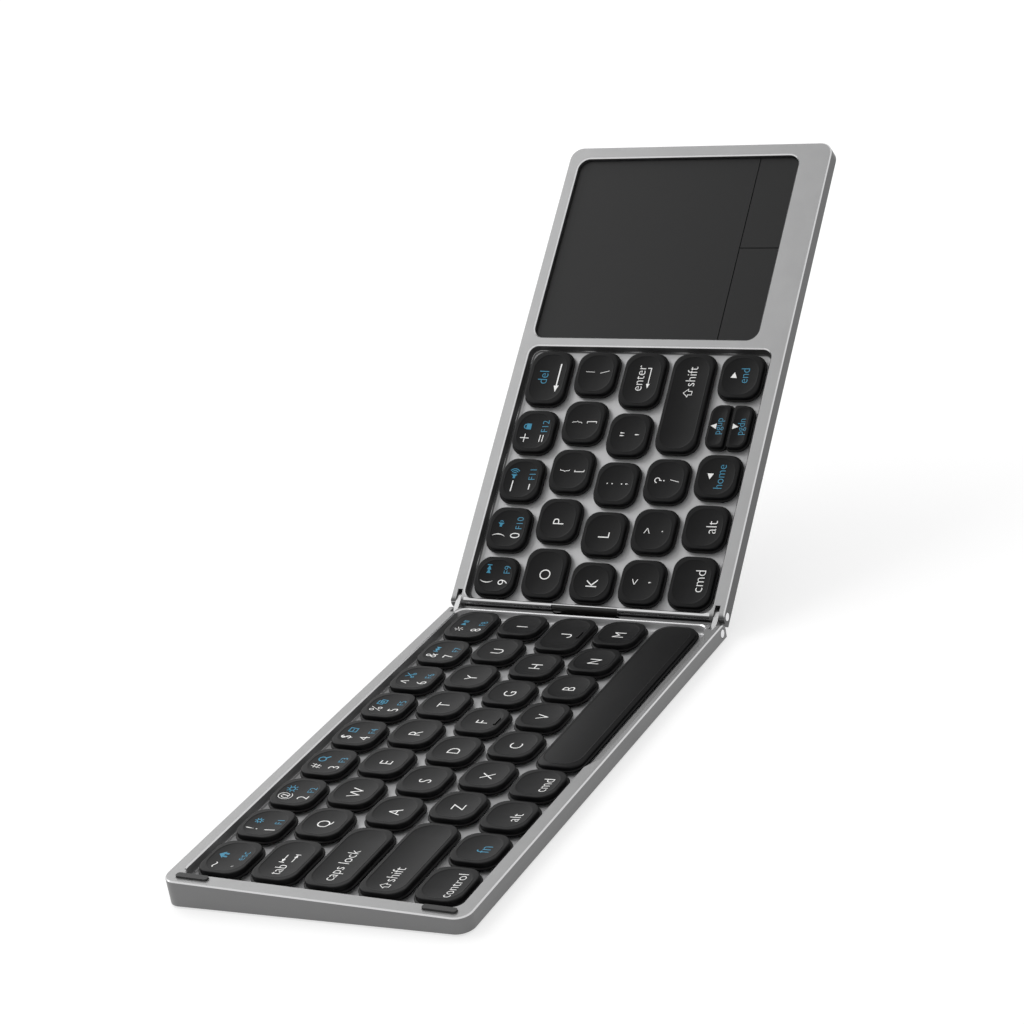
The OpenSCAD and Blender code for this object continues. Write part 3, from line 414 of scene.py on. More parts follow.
class Cap:
    """One key: its middle, half sizes and the surface of its top."""

    def __init__(self, x0, x1, y0, y1, radii=(KEY_R,) * 4, rim=DISH_RIM, dish_r=DISH_R,
                 depth=DISH_DEPTH):
        self.mid = np.array([(x0 + x1) / 2, (y0 + y1) / 2])
        self.half = ((x1 - x0) / 2, (y1 - y0) / 2)
        self.radii, self.rim, self.depth, self.crown = radii, rim, depth, 0.0
        self.reach = min(self.half) - rim
        self.dish_r = min(dish_r, self.reach - DISH_FLAT)

    def top(self, x, y):
        """How far the top lies below the rim, as a negative height: the depth times one less
        the square of the share of the way that is left to the dish's middle. On a crowned key,
        it is the crown times the square of y."""
        if self.crown:
            return -self.crown * (y / self.half[1]) ** 2
        d = inside(x, y, self.half[0] - self.rim, self.half[1] - self.rim, self.dish_r)
        left = 1 - np.clip(d / self.reach, 0, 1)
        return -self.depth * (1 - left ** 2)

    def surface(self):
        """Rings from the top's middle outwards, over the edge, down the side and its lip, and
        back under the rim to the ceiling of the hollow. Each ring is the outline at one inset,
        at one height. Its corner radii are the dish's less the inset within the dish, go over
        to the cap's own across the rim with the square of the inset, and are the cap's own less
        the inset elsewhere."""
        lip_top = CAP_H - LIP_H
        inset = np.concatenate([
            self.rim + DISH_RINGS * self.reach, [self.rim - BEAD_OUT, (self.rim + TOP_EDGE) / 2],
            TOP_EDGE * (1 - np.cos(EDGE_RINGS)), [0, -LIP_OUT * LIP_SHOULDER, -LIP_OUT, -LIP_OUT],
            [CAP_WALL, CAP_WALL, min(self.half)]])
        flat = len(DISH_RINGS) + 2
        drop = np.concatenate([
            np.zeros(flat), TOP_EDGE * (1 - np.sin(EDGE_RINGS)),
            [lip_top - LIP_STEP, lip_top + LIP_STEP, lip_top + LIP_EDGE, CAP_H],
            [CAP_H, CAP_UNDER, CAP_UNDER]])
        rings = np.arange(len(inset))
        top, under = rings < flat + len(EDGE_RINGS), rings >= len(inset) - 3
        share = np.clip(inset / self.rim, 0, 1) ** 2
        radii = []
        for r in self.radii:
            near_dish = self.dish_r * min(1, r / KEY_R + CORNER_MORE)
            own = np.select([under | (inset < 0), inset > self.rim],
                            [r - inset, self.dish_r + self.rim - inset],
                            r * (1 - share) + near_dish * share)
            radii.append(np.maximum(own, 0))
        xy = outline(self.half[0] - inset, self.half[1] - inset, radii)
        z = np.repeat(-drop[:, None], xy.shape[1], 1)
        z[top] += self.top(xy[top][..., 0], xy[top][..., 1])
        z[len(DISH_RINGS) - 1] += BEAD
        if self.crown:
            z -= BEVEL * np.clip(1 - inset / self.rim, 0, 1)[:, None] * top[:, None]
        points = np.dstack([xy + self.mid, z])
        return weld(points.reshape(-1, 3), ring_faces(*points.shape[:2]))


FRONT_ROW = 4                  # rows are counted from the back, from 0


def row_y(row):
    """The front edge of a row's keys."""
    return FRONT_KEYS_Y + (FRONT_ROW - row) * PITCH_Y


def row_keys(start, first_w, ordinary, end, row):
    """The keys of a row: one of its own width, ordinary ones, and one up to the end."""
    edges = [(start, start + first_w)]
    for i in range(ordinary + 1):
        a = start + first_w + GAP_X + i * PITCH_X
        edges.append((a, end if i == ordinary else a + KEY_W))
    return [Cap(a, b, row_y(row), row_y(row) + KEY_D) for a, b in edges]


# Of each row, from the back: the first key's width and how many ordinary keys follow it
LEFT_FIRST = [(16.7, 7), (20.5, 7), (30.4, 6), (36.3, 6), (16.7, 3)]
RIGHT_FIRST = [(13.2, 3), (17.1, 3), (13.2, 3), (15.0, 2), (17.1, 3)]
LEFT_ROWS = [row_keys(LEFT_KEYS_X0, w, n, LEFT_KEYS_X1, i) for i, (w, n) in enumerate(LEFT_FIRST)]
RIGHT_ROWS = [row_keys(RIGHT_KEYS_X0, w, n, RIGHT_KEYS_X1, i)
              for i, (w, n) in enumerate(RIGHT_FIRST)]
space_bar = LEFT_ROWS[FRONT_ROW][4]
space_bar.crown = CROWN
# Two small keys, one behind the other, share the place of one key
split = RIGHT_ROWS[FRONT_ROW][3]
split_x = (split.mid[0] - split.half[0], split.mid[0] + split.half[0])
split_y = row_y(FRONT_ROW)
small_d = (KEY_D - SPLIT_GAP) / 2
arrow_down = Cap(*split_x, split_y, split_y + small_d, (KEY_R, SMALL_R, SMALL_R, KEY_R),
                 **SMALL_DISH)
arrow_up = Cap(*split_x, split_y + small_d + SPLIT_GAP, split_y + KEY_D,
               (SMALL_R, KEY_R, KEY_R, SMALL_R), **SMALL_DISH)

# What each of the part's key nodes holds: its row, its first key there and the one past its last
LEFT_NODES = {
    "key_esc": (0, 0, 1), "keys_1_to_8": (0, 1, 9), "key_tab": (1, 0, 1),
    "keys_q_to_i": (1, 1, 9), "key_caps_lock": (2, 0, 1), "keys_a_to_j": (2, 1, 8),
    "key_left_shift": (3, 0, 1), "keys_z_to_m": (3, 1, 8), "key_control": (4, 0, 1),
    "key_fn": (4, 1, 2), "key_left_alt": (4, 2, 3), "key_left_cmd": (4, 3, 4),
    "key_space": (4, 4, 5)}
RIGHT_NODES = {
    "keys_9_to_equals": (0, 0, 4), "key_backspace": (0, 4, 5), "keys_o_to_backslash": (1, 0, 5),
    "keys_k_to_quote": (2, 0, 4), "key_enter": (2, 4, 5), "keys_comma_to_slash": (3, 0, 3),
    "key_right_shift": (3, 3, 4), "key_right_cmd": (4, 0, 1), "key_right_alt": (4, 1, 2),
    "key_arrow_left": (4, 2, 3), "key_arrow_right": (4, 4, 5)}
CAPS = {node: LEFT_ROWS[row][a:b] for node, (row, a, b) in LEFT_NODES.items()}
CAPS.update({node: RIGHT_ROWS[row][a:b] for node, (row, a, b) in RIGHT_NODES.items()})
CAPS["key_arrow_up"] = [arrow_up]
CAPS["key_arrow_down"] = [arrow_down]
HOME_KEYS = (3, 6)             # F and J among the keys of their node
HOME_BAR = (3.8, 0.7, 0.3)     # length, width and height above the dish
HOME_BAR_IN = 1.1              # from the dish's rim to the bar's middle
HOME_BAR_SUNK = 0.15           # how deep its foot is sunk into the dish


def bar(cap):
    """The raised bar on the F and J keys: a box whose top follows the dish, near its front."""
    length, width, height = HOME_BAR
    x = np.array([-1, 1, 1, -1, -1, 1, 1, -1]) * length / 2
    y = np.array([-1, -1, 1, 1, -1, -1, 1, 1]) * width / 2 - (cap.half[1] - cap.rim - HOME_BAR_IN)
    z = cap.top(x, y) + np.repeat([-HOME_BAR_SUNK, height], 4)
    faces = [[3, 2, 1, 0], [4, 5, 6, 7], [0, 1, 5, 4], [1, 2, 6, 5], [2, 3, 7, 6], [3, 0, 4, 7]]
    return np.stack([x + cap.mid[0], y + cap.mid[1], z], -1), faces


# ---- Legends: thin solid prints that follow the tops
PRINT_T = 0.03
SQUEEZE = 0.86                 # the lettering's width against its height
THINNER = -0.013               # how far the letters' outlines move inwards, for a letter size of 1
LETTER_CURVE = 3               # steps of a curve in a letter's outline
LEAST_FACE = 1e-6              # twice the area from which on a face of a letter is kept
J_HOOK, J_SHORT = 0.27, 0.2    # the drawn J: its hook's radius against its height, and how much
                               # its stem's middle line stays below the top
LETTER_LINE, THIN = 0.42, 0.28  # widths of a drawn letter's lines and of most signs' lines
HEAD_LONG = 1.25               # an arrow head's length against its width


def turned(xy):
    """Twice a flat polygon's area, which is negative where its corners run clockwise: the sum
    of each corner's cross product with the next."""
    after = np.roll(xy, -1, 0)
    return float(np.sum(xy[:, 0] * after[:, 1] - xy[:, 1] * after[:, 0]))


def text_mesh(text):
    """The letters as a flat outline filled with faces, in the lettering's own units. Where
    faces overlap on one side of an edge, only the largest of them stays."""
    curve = bpy.data.curves.new("letters", "FONT")
    curve.body = text
    curve.resolution_u = LETTER_CURVE
    curve.offset = THINNER
    holder = bpy.data.objects.new("letters", curve)
    mesh = bpy.data.meshes.new_from_object(holder)
    xyz = np.empty(len(mesh.vertices) * 3)
    mesh.vertices.foreach_get("co", xyz)
    xy = xyz.reshape(-1, 3)[:, :2]
    faces, used = [], set()
    for face in sorted((list(p.vertices) for p in mesh.polygons), key=lambda f: -turned(xy[f])):
        sides = set(zip(face, face[1:] + face[:1]))
        if turned(xy[face]) > LEAST_FACE and not sides & used:
            faces.append(face)
            used |= sides
    bpy.data.objects.remove(holder)
    bpy.data.meshes.remove(mesh)
    return xy, faces


CAPITAL = np.ptp(text_mesh("H")[0][:, 1])  # a capital's height in those units


def solid(xy, faces, cap):
    """A flat shape made solid: its faces half its thickness above the top of the key, the same
    faces turned over as far below it, and a wall on every edge that only one face uses."""
    if sum(turned(xy[face]) for face in faces) < 0:
        faces = [face[::-1] for face in faces]
    z = cap.top(xy[:, 0], xy[:, 1])
    n = len(xy)
    points = np.vstack([np.column_stack([xy + cap.mid, z + PRINT_T / 2]),
                        np.column_stack([xy + cap.mid, z - PRINT_T / 2])])
    edges = {}
    for face in faces:
        for a, b in zip(face, face[1:] + face[:1]):
            if not edges.pop((b, a), None):
                edges[a, b] = True
    under = [[n + i for i in reversed(face)] for face in faces]
    walls = [[b, a, n + a, n + b] for a, b in edges]
    return points, faces + under + walls


def word(text, x, y, height):
    """A word or sign whose middle is at x, y from the key's middle; height is a capital's."""
    xy, faces = text_mesh(text)
    xy = xy * (height / CAPITAL) * (SQUEEZE, 1)
    xy += (x, y) - (xy.min(0) + xy.max(0)) / 2
    return [(xy, faces)]


def stroke(*points, width=LETTER_LINE):
    """A bent line of the given width: one rectangle for each straight stretch."""
    shapes = []
    for a, b in zip(np.array(points[:-1], float), np.array(points[1:], float)):
        along = (b - a) / np.linalg.norm(b - a) * width / 2
        side = np.array([-along[1], along[0]])
        shapes.append((np.array([a - along - side, b + along - side, b + along + side,
                                 a - along + side]), [[0, 1, 2, 3]]))
    return shapes


def polygon(*points):
    """A filled shape with straight sides, its corners in anticlockwise order."""
    return [(np.array(points, float), [list(range(len(points)))])]


def ring(x, y, radius, width, start=0, end=360, steps=20):
    """A ring or part of one: points on an inner and an outer circle."""
    whole = end - start >= 360
    angle = np.radians(np.linspace(start, end, steps, endpoint=not whole))
    unit = np.column_stack([np.cos(angle), np.sin(angle)])
    xy = np.vstack([unit * (radius - width / 2), unit * (radius + width / 2)]) + (x, y)
    last = steps if whole else steps - 1
    return [(xy, [[i, steps + i, steps + (i + 1) % steps, (i + 1) % steps]
                  for i in range(last)])]


def arrow(x0, x1, y, head, width):
    """A straight arrow along the row with its point at x1."""
    way = math.copysign(1, x1 - x0)
    back = x1 - way * head * HEAD_LONG
    tip = [(back, y - head / 2), (x1, y), (back, y + head / 2)]
    return stroke((x0, y), (back, y), width=width) + polygon(*tip[::int(way)])


def shift_sign(x, y):
    """The outline of a broad arrow that points to the back."""
    return stroke((x - 0.65, y - 1.5), (x + 0.65, y - 1.5), (x + 0.65, y - 0.1),
                  (x + 1.4, y - 0.1), (x, y + 1.5), (x - 1.4, y - 0.1), (x - 0.65, y - 0.1),
                  (x - 0.65, y - 1.5), width=0.2)


def triangle(x, y, way, size):
    """A solid triangle that points to the right, back, left or front: way in quarter turns."""
    angle = np.radians(90 * way + np.array([0, 125, 235]))
    return polygon(*np.column_stack([x + size * np.cos(angle), y + size * np.sin(angle)]))


def corners_of(x, y, w, h):
    """The corners of a rectangle about its middle, anticlockwise from the front left."""
    return [(x - w / 2, y - h / 2), (x + w / 2, y - h / 2), (x + w / 2, y + h / 2),
            (x - w / 2, y + h / 2)]


def box_sign(x, y, w, h):
    """A filled rectangle about its middle."""
    return polygon(*corners_of(x, y, w, h))


def frame_sign(x, y, w, h):
    """The outline of a rectangle about its middle."""
    corners = corners_of(x, y, w, h)
    return stroke(*corners, corners[0], width=0.3)


def cross(x, y, reach):
    """A plus sign."""
    return (stroke((x - reach, y), (x + reach, y), width=THIN)
            + stroke((x, y - reach), (x, y + reach), width=THIN))


def sun(x, y, radius):
    """A ring with eight short rays, from 1.5 to 1.9 times its radius."""
    rays = []
    for angle in np.radians(np.arange(0, 360, 45)):
        way = np.array([math.cos(angle), math.sin(angle)])
        rays += stroke((x, y) + way * radius * 1.5, (x, y) + way * radius * 1.9, width=0.26)
    return ring(x, y, radius, width=0.3) + rays


def loudspeaker(x, y, waves):
    """A loudspeaker seen from the side, with arcs for its sound."""
    shapes = polygon((x - 1.3, y - 0.4), (x - 0.6, y - 0.4), (x + 0.1, y - 1.1),
                     (x + 0.1, y + 1.1), (x - 0.6, y + 0.4), (x - 1.3, y + 0.4))
    for n in range(waves):
        shapes += ring(x, y, 0.75 + 0.65 * n, width=THIN, start=-50, end=50, steps=8)
    return shapes


def house(x, y):
    """A small house: a roof over two walls, with the door between them."""
    return (polygon((x - 1.6, y - 0.1), (x + 1.6, y - 0.1), (x, y + 1.5))
            + box_sign(x - 0.7, y - 0.725, 0.7, 1.15) + box_sign(x + 0.7, y - 0.725, 0.7, 1.15))


def magnifier(x, y):
    """A lens with its handle."""
    return ring(x - 0.2, y + 0.2, 1.1, width=0.36) + stroke((x + 0.6, y - 0.6), (x + 1.5, y - 1.5))


def padlock(x, y):
    """A closed padlock."""
    return (box_sign(x, y - 0.6, 2.1, 1.7)
            + ring(x, y + 0.3, 0.75, width=0.32, start=0, end=180, steps=10))


def scissors(x, y):
    """Two crossed blades with a ring at the end of each."""
    return (stroke((x - 0.7, y - 0.7), (x + 0.9, y + 1.4), width=0.26)
            + stroke((x + 0.7, y - 0.7), (x - 0.9, y + 1.4), width=0.26)
            + ring(x - 0.9, y - 1.0, 0.45, width=0.24, steps=12)
            + ring(x + 0.9, y - 1.0, 0.45, width=0.24, steps=12))


def skip(x, y, way):
    """Two triangles and a bar: to the next piece, or to the one before."""
    turns = 0 if way > 0 else 2
    return (triangle(x - 0.7 * way, y, turns, 0.95) + triangle(x + 0.5 * way, y, turns, 0.95)
            + box_sign(x + 1.55 * way, y, 0.3, 1.6))


def play_pause(x, y):
    """A triangle and two bars."""
    return (triangle(x - 0.7, y, 0, 1.05) + box_sign(x + 0.75, y, 0.35, 1.7)
            + box_sign(x + 1.4, y, 0.35, 1.7))


LETTER_AT = (-0.4, -0.25)      # from a key's middle to its letter's
LETTER_H, DIGIT_H, SIGN_H, FUNCTION_H, WORD_H = 3.8, 3.5, 3.2, 2.35, 3.3
WHITE_X, BLUE_X = -2.5, 1.7    # the two columns of a number key
UPPER_Y, LOWER_Y = 2.95, -3.05
PAIR_Y = UPPER_Y - 0.7         # the upper one of two signs of one size
FUNCTION_X, FUNCTION_Y = BLUE_X + 0.2, -3.7
SIGN_SCALE = {"|": 0.72, "{": 0.78, "}": 0.78, "[": 0.86, "]": 0.86, '"': 1.35, "'": 1.35,
              "<": 0.95, ">": 0.95, "*": 1.5, "^": 1.35, "!": 1.15, "&": 1.1, "%": 1.1}


def white(shapes):
    """A legend, or a part of one, in white ink."""
    return [(WHITE_INK, shapes)]


def blue(shapes):
    """A legend, or a part of one, in blue ink."""
    return [(BLUE_INK, shapes)]


def sign(text, x, y):
    """A sign at its own height."""
    return word(text, x, y, SIGN_H * SIGN_SCALE.get(text, 1.0))


def hooked_j(x, y, height):
    """The letter J: a straight stem that ends in half a ring."""
    r = height * J_HOOK
    foot = y - height / 2 + r
    return (stroke((x + r, y + height / 2 - J_SHORT), (x + r, foot))
            + ring(x, foot, r, LETTER_LINE, start=180, end=360, steps=12))


def letters(text):
    """One letter for each key of a row."""
    return [white(hooked_j(*LETTER_AT, LETTER_H) if c == "J" else word(c, *LETTER_AT, LETTER_H))
            for c in text]


def number_key(upper, digit, function, icon, shift=0.0):
    """White sign over white digit, and blue icon over blue function name."""
    return (white(sign(upper, WHITE_X + shift, UPPER_Y)
                  + word(digit, WHITE_X + shift, LOWER_Y, DIGIT_H))
            + blue(icon(BLUE_X + shift, UPPER_Y)
                   + word(function, FUNCTION_X + shift, FUNCTION_Y, FUNCTION_H)))


def query(x, y):
    """A question mark: most of a ring, a short stem and a dot."""
    return (ring(x, y + 0.75, 0.85, THIN, start=-80, end=180, steps=14)
            + stroke((x, y), (x, y - 0.6), width=THIN) + box_sign(x, y - 1.5, 0.4, 0.4))


def two_signs(upper, lower, x=0.0):
    """One sign over another."""
    over = query(x, PAIR_Y) if upper == "?" else sign(upper, x, PAIR_Y)
    return white(over + sign(lower, x, LOWER_Y))


def pages(x, y):
    """Two sheets, one over the other."""
    return frame_sign(x - 0.4, y + 0.4, 1.7, 1.7) + frame_sign(x + 0.4, y - 0.4, 1.7, 1.7)


def sheet(x, y):
    """One sheet with a line on it."""
    return frame_sign(x, y, 2.0, 2.4) + stroke((x - 0.5, y), (x + 0.5, y), width=THIN)


# The legend of each key of each node: a list of (ink, shapes), with places from its key's middle
LEGENDS = {
    "key_esc": [white(word("~", -4.2, 2.7, 4.4) + word("`", -4.2, -3.0, 3.4))
                + blue(house(1.0, 2.9) + word("esc", 1.4, -3.6, 2.7))],
    "keys_1_to_8": [
        number_key("!", "1", "F1", lambda x, y: sun(x, y, 0.65), -0.5),
        number_key("@", "2", "F2", lambda x, y: sun(x, y, 0.85)),
        number_key("#", "3", "F3", magnifier),
        number_key("$", "4", "F4", sheet),
        number_key("%", "5", "F5", pages),
        number_key("^", "6", "F6", scissors),
        number_key("&", "7", "F7", lambda x, y: skip(x, y, -1)),
        number_key("*", "8", "F8", play_pause, -0.6)],
    "key_tab": [white(word("tab", -4.7, 0, WORD_H) + arrow(2.7, -0.8, 1.3, 1.1, THIN)
                      + stroke((-0.9, 0.6), (-0.9, 2.0), width=THIN)
                      + arrow(-0.2, 3.3, -1.7, 1.1, THIN)
                      + stroke((3.4, -2.4), (3.4, -1.0), width=THIN))],
    "keys_q_to_i": letters("QWERTYUI"),
    "key_caps_lock": [white(word("caps lock", -3.9, -0.3, WORD_H))],
    "keys_a_to_j": letters("ASDFGHJ"),
    "key_left_shift": [white(shift_sign(-13.8, -0.2) + word("shift", -8.0, 0, WORD_H))],
    "keys_z_to_m": letters("ZXCVBNM"),
    "key_control": [white(word("control", -0.4, -2.2, 3.1))],
    "key_fn": [blue(word("fn", -0.1, -1.4, 3.8))],
    "key_left_alt": [white(word("alt", -0.6, -2.1, 3.4))],
    "key_left_cmd": [white(word("cmd", -0.5, -2.3, 3.4))],
    "keys_9_to_equals": [
        number_key("(", "9", "F9", lambda x, y: skip(x, y, 1), 0.4),
        number_key(")", "0", "F10", lambda x, y: loudspeaker(x, y, 1), 0.2),
        white(stroke((-4.2, 2.9), (-0.6, 2.9), width=0.36)
              + stroke((-3.3, -3.5), (-1.6, -3.5), width=0.36))
        + blue(loudspeaker(BLUE_X, UPPER_Y, 3) + word("F11", FUNCTION_X, FUNCTION_Y, FUNCTION_H)),
        white(cross(WHITE_X, UPPER_Y, 1.4) + stroke((-3.7, -2.7), (-1.4, -2.7), width=THIN)
              + stroke((-3.7, -3.8), (-1.4, -3.8), width=THIN))
        + blue(padlock(BLUE_X, UPPER_Y) + word("F12", FUNCTION_X, FUNCTION_Y, FUNCTION_H))],
    "key_backspace": [blue(word("del", 0.2, 2.0, WORD_H))
                      + white(arrow(4.9, -5.2, -3.7, 1.9, 0.5))],
    "keys_o_to_backslash": letters("OP") + [two_signs("{", "["), two_signs("}", "]"),
                                            two_signs("|", "\\", 0.6)],
    "keys_k_to_quote": letters("KL") + [two_signs(":", ";"), two_signs('"', "'")],
    "key_enter": [white(word("enter", 0.7, 0.8, WORD_H) + arrow(4.3, -3.0, -2.4, 1.3, 0.3)
                        + stroke((4.3, -2.4), (4.3, -1.3), width=0.3))],
    "keys_comma_to_slash": [two_signs("<", ","), two_signs(">", "."), two_signs("?", "/")],
    "key_right_shift": [white(shift_sign(3.6, 0) + word("shift", 9.6, 0, WORD_H))],
    "key_right_cmd": [white(word("cmd", 0.4, -2.3, 3.5))],
    "key_right_alt": [white(word("alt", 0.2, -2.2, 3.6))],
    "key_arrow_left": [white(triangle(0.3, 2.35, 2, 1.3)) + blue(word("home", 0, -1.1, 2.9))],
    "key_arrow_up": [white(triangle(0, 1.1, 1, 1.2)) + blue(word("pgup", 0, -1.1, 2.4))],
    "key_arrow_down": [white(triangle(0, 1.75, 3, 1.2)) + blue(word("pgdn", 0, -0.7, 2.4))],
    "key_arrow_right": [white(triangle(0.3, 2.35, 0, 1.3)) + blue(word("end", 0.4, -1.2, 2.9))]}

for node, caps in CAPS.items():
    place = LEFT if node in LEFT_NODES else RIGHT
    parts = [(*cap.surface(), KEY) for cap in caps]
    if node == "keys_a_to_j":
        parts += [(*bar(caps[i]), KEY) for i in HOME_KEYS]
    piece("caps_of_" + node, parts, place, node, replaces=[node])
    prints = [(*solid(xy, faces, cap), ink) for cap, legend in zip(caps, LEGENDS.get(node, []))
              for ink, shapes in legend for xy, faces in shapes]
    if prints:
        piece("prints_on_" + node, prints, place, node)


# ---- Below the caps: rubber domes and crossed levers
MEMBRANE_Z = -3.75             # the top of the membrane, which the domes and levers stand on
STAND_H = -CAP_UNDER - MEMBRANE_Z
DOME_R, HALF_DOME_R, DOME_SKIN = 3.2, 1.6, 0.45
DOME_TOP = 0.45                # radius of a dome's top against its foot's
DOME_STEPS = 24
LEVER_L, LEVER_BAR, LEVER_T, LEVER_R = 9.6, 0.7, 0.5, 0.9
LEVER_AIR, LEVER_GAP = 0.05, 0.2  # left above and below a lever's ends, and beside its dome
LEVER_DEPTHS, HALF_LEVER_DEPTHS = (10.0, 8.3), (4.15,)
LEVER_TIP = math.asin((STAND_H / 2 - LEVER_T / 2 - LEVER_AIR) / (LEVER_L / 2))
WIDE_KEY = 26.0                # from this width on, a key has two pairs of levers


def dome(x, y, r):
    """A rubber dome: its section, a list of radii and of heights as shares of its own, runs
    from the top's rim down the outside and up the inside, and is turned about its middle. A
    disc closes each end."""
    top_r, skin = r * DOME_TOP, DOME_SKIN / STAND_H
    section = np.array([
        (top_r - 0.12, 1), (top_r, 0.96), (top_r, 0.66), (top_r + 0.08, 0.6),
        (r - 0.06, skin + 0.04), (r, skin), (r, 0), (r - DOME_SKIN, 0), (top_r - 0.4, 0.5)])
    turn = np.linspace(0, 2 * math.pi, DOME_STEPS, endpoint=False)
    radius, height = section[:, :1], section[:, 1:]
    points = np.dstack([x + radius * np.cos(turn), y + radius * np.sin(turn),
                        MEMBRANE_Z + STAND_H * height + 0 * turn])
    discs = [list(range(DOME_STEPS)),
             list(range((len(section) - 1) * DOME_STEPS, len(section) * DOME_STEPS))[::-1]]
    return points.reshape(-1, 3), ring_faces(*points.shape[:2]) + discs


def lever(x, y, depth, way):
    """A lever frame: a rectangular section carried round a rectangle with round corners, then
    tipped about its middle, by a turn in the plane of x and z."""
    inset = np.array([0, 0, LEVER_BAR, LEVER_BAR, 0])
    xy = outline(LEVER_L / 2 - inset, depth / 2 - inset, np.outer(np.ones(4), LEVER_R - inset))
    z = (np.array([1, -1, -1, 1, 1]) * LEVER_T / 2)[:, None] + 0 * xy[..., 0]
    c, s = math.cos(way * LEVER_TIP), math.sin(way * LEVER_TIP)
    points = np.dstack([x + c * xy[..., 0] + s * z, y + xy[..., 1],
                        MEMBRANE_Z + STAND_H / 2 - s * xy[..., 0] + c * z])
    return weld(points.reshape(-1, 3), ring_faces(*points.shape[:2]))


def lever_middles(cap):
    """Where along a key its pairs of levers stand: at its middle, or on both sides of its dome."""
    width = 2 * cap.half[0]
    side = max(width / 4, DOME_R + LEVER_L / 2 + LEVER_GAP)
    return [cap.mid[0]] if width < WIDE_KEY else [cap.mid[0] - side, cap.mid[0] + side]


for node, caps in CAPS.items():
    side, place = ("left", LEFT) if node in LEFT_NODES else ("right", RIGHT)
    split_key = node in ("key_arrow_up", "key_arrow_down")
    domes = [(*dome(*cap.mid, HALF_DOME_R if split_key else DOME_R), DOME) for cap in caps]
    levers = [(*lever(x, cap.mid[1], depth, 1 - 2 * n), LEVER)
              for cap in caps for x in lever_middles(cap)
              for n, depth in enumerate(HALF_LEVER_DEPTHS if split_key else LEVER_DEPTHS)]
    for kind, parts, cad_node, slot_name in [
            ("domes", domes, side + "_rubber_domes", "dome_rubber"),
            ("levers", levers, side + "_scissor_levers", "lever_plastic")]:
        soft = piece(f"{kind}_under_{node}", parts, place, side + "_half",
                     replaces=[cad_node])
        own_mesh(soft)


# ---- The flex film, across both pin lines, bent just past each
FILM_T, FILM_W = 0.2, 20.0
FILM_IN, FILM_OUT = 12.0, 2.0  # how far it runs into each half, and straight past each end
FILM_Z = -4.35
FILM_BEND = 1.5                # how far inside a half, from its pin line, a point listed with each film piece lies
FILM_STEPS = 24                # points on a straight stretch
TO_LEFT = np.linalg.inv(LEFT) @ RIGHT


def film_point(right, x):
    """A point of the film's middle layer, at its front edge, in the left panel's millimetres.
    x is measured on the right panel or on the left one."""
    point = np.array([x, (PANEL_D - FILM_W) / 2, FILM_Z, 1.0])
    return (TO_LEFT @ point if right else point)[:3]


def film(path):
    """The film along a path: its section, a flat strip, is carried along the path and turned
    with it. Both ends are closed."""
    along = np.gradient(path, axis=0)
    along /= np.linalg.norm(along, axis=1)[:, None]
    up = np.column_stack([-along[:, 2], 0 * along[:, 1], along[:, 0]]) * FILM_T / 2
    wide = np.array([0, FILM_W, 0])
    rings = np.stack([path + up, path + up + wide, path - up + wide, path - up], 1)
    last = 4 * (len(path) - 1)
    ends = [[0, 1, 2, 3], [last + 3, last + 2, last + 1, last]]
    return rings.reshape(-1, 3), ring_faces(len(path), 4) + ends


def between(a, b):
    """Evenly spaced points on the line from a to b."""
    return a + np.linspace(0, 1, FILM_STEPS)[:, None] * (b - a)


left_end, left_out = film_point(False, LEFT_LEN - FILM_IN), film_point(False, LEFT_LEN + FILM_OUT)
right_out, right_end = film_point(True, -FILM_OUT), film_point(True, FILM_IN)
bridge = (left_out + right_out) / 2
FILM_PARTS = [
    ("left_flex_film", "left_half", "hinge_links", [left_end, left_out, bridge],
     film_point(False, LEFT_LEN - FILM_BEND), bridge),
    ("right_flex_film", "hinge_links", "right_half", [bridge, right_out, right_end],
     bridge, film_point(True, FILM_BEND))]
for name, body_a, body_b, (a, b, c), start, end in FILM_PARTS:
    path = np.vstack([between(a, b)[:-1], between(b, c)])
    strip = piece(name, [(*film(path), FLEX)], LEFT, None,
                  replaces=["hinge_flex_cable"])
    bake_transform(strip)


# ---- Stage, light and camera
def seen(tree, otherwise, value):
    """Gives value to the rays of the camera, gloss and glass, and otherwise to all others."""
    rays = tree.nodes.new("ShaderNodeLightPath").outputs
    either = math_node(tree, "MAXIMUM", rays["Is Glossy Ray"], rays["Is Transmission Ray"])
    either = math_node(tree, "MAXIMUM", rays["Is Camera Ray"], either)
    return ramp(tree, either, 0.0, 1.0, otherwise, value)


PAPER = 0.45                   # the floor's own grey
PAPER_GLOW = 0.62              # what the camera, gloss and glass see on top of it


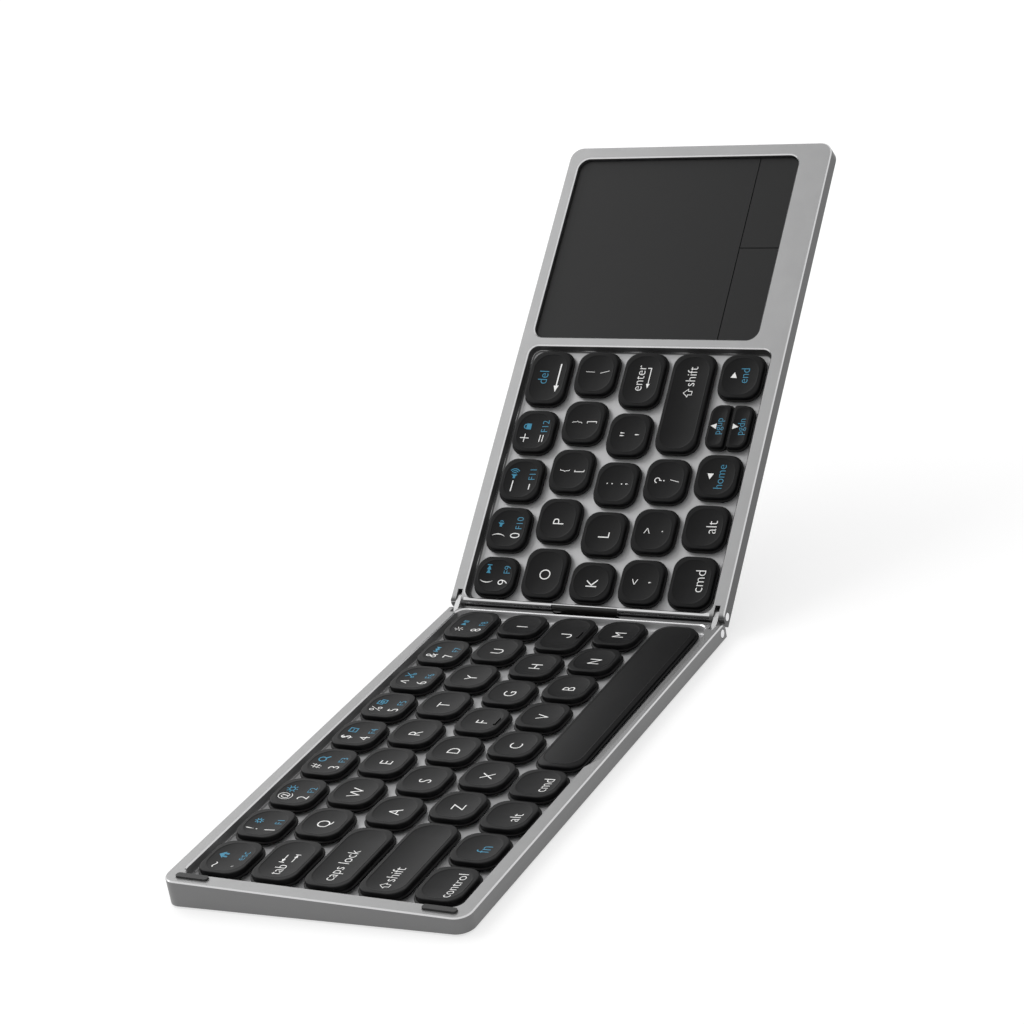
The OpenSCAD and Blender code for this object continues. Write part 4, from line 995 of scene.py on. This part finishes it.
def paper():
    """Matt pale paper that is seen as white where no shadow falls."""
    material, tree, shader = nodes_of("pale paper")
    shader.inputs["Base Color"].default_value = (PAPER, PAPER, PAPER, 1)
    shader.inputs["Roughness"].default_value = 0.9
    shader.inputs["Specular IOR Level"].default_value = 0.0
    glow = tree.nodes.new("ShaderNodeEmission")
    tree.links.new(seen(tree, 0.0, PAPER_GLOW), glow.inputs["Strength"])
    both = tree.nodes.new("ShaderNodeAddShader")
    tree.links.new(shader.outputs["BSDF"], both.inputs[0])
    tree.links.new(glow.outputs["Emission"], both.inputs[1])
    tree.links.new(both.outputs["Shader"], tree.nodes["Material Output"].inputs["Surface"])
    return material


FLOOR_SIDE = 6.0               # in metres
floor_mesh = bpy.data.meshes.new("floor")
floor_mesh.from_pydata([(*corner, 0) for corner in corners_of(0, 0, FLOOR_SIDE, FLOOR_SIDE)], [],
                       [[0, 1, 2, 3]])
floor_mesh.materials.append(paper())
floor = bpy.data.objects.new("floor", floor_mesh)
bpy.context.scene.collection.objects.link(floor)

AIM = Vector((0.0, 0.0, 0.05))


def lamp(name, at, size, power):
    """A soft square lamp that points at the keyboard."""
    light = bpy.data.lights.new(name, "AREA")
    light.size = size
    light.energy = power
    obj = bpy.data.objects.new(name, light)
    obj.location = at
    obj.rotation_euler = (AIM - Vector(at)).to_track_quat("-Z", "Y").to_euler()
    bpy.context.scene.collection.objects.link(obj)


lamp("back light", (0.1, 1.1, 1.1), size=1.2, power=10)
lamp("side light", (0.75, 0.95, 0.8), size=0.8, power=2.5)

SKY = 0.7                      # the sky's light; the camera, gloss and glass see it as white
world = bpy.data.worlds.new("studio")
bpy.context.scene.world = world
world.use_nodes = True
sky = world.node_tree
sky.links.new(seen(sky, SKY, 1.0), sky.nodes["Background"].inputs["Strength"])
sky.nodes["Background"].inputs["Color"].default_value = (1, 1, 1, 1)

CAMERA_AT = Vector((-0.66133, -0.40081, 0.35675))
CAMERA_TURN = Euler([math.radians(a) for a in (68.040, 11.115, -62.661)])
LENS = 96.86
camera = bpy.data.cameras.new("camera")
camera.lens = LENS
camera.clip_start = 0.05
eye = bpy.data.objects.new("camera", camera)
eye.location = CAMERA_AT
eye.rotation_euler = CAMERA_TURN
bpy.context.scene.collection.objects.link(eye)
bpy.context.scene.camera = eye
bpy.context.scene.view_settings.view_transform = "Standard"
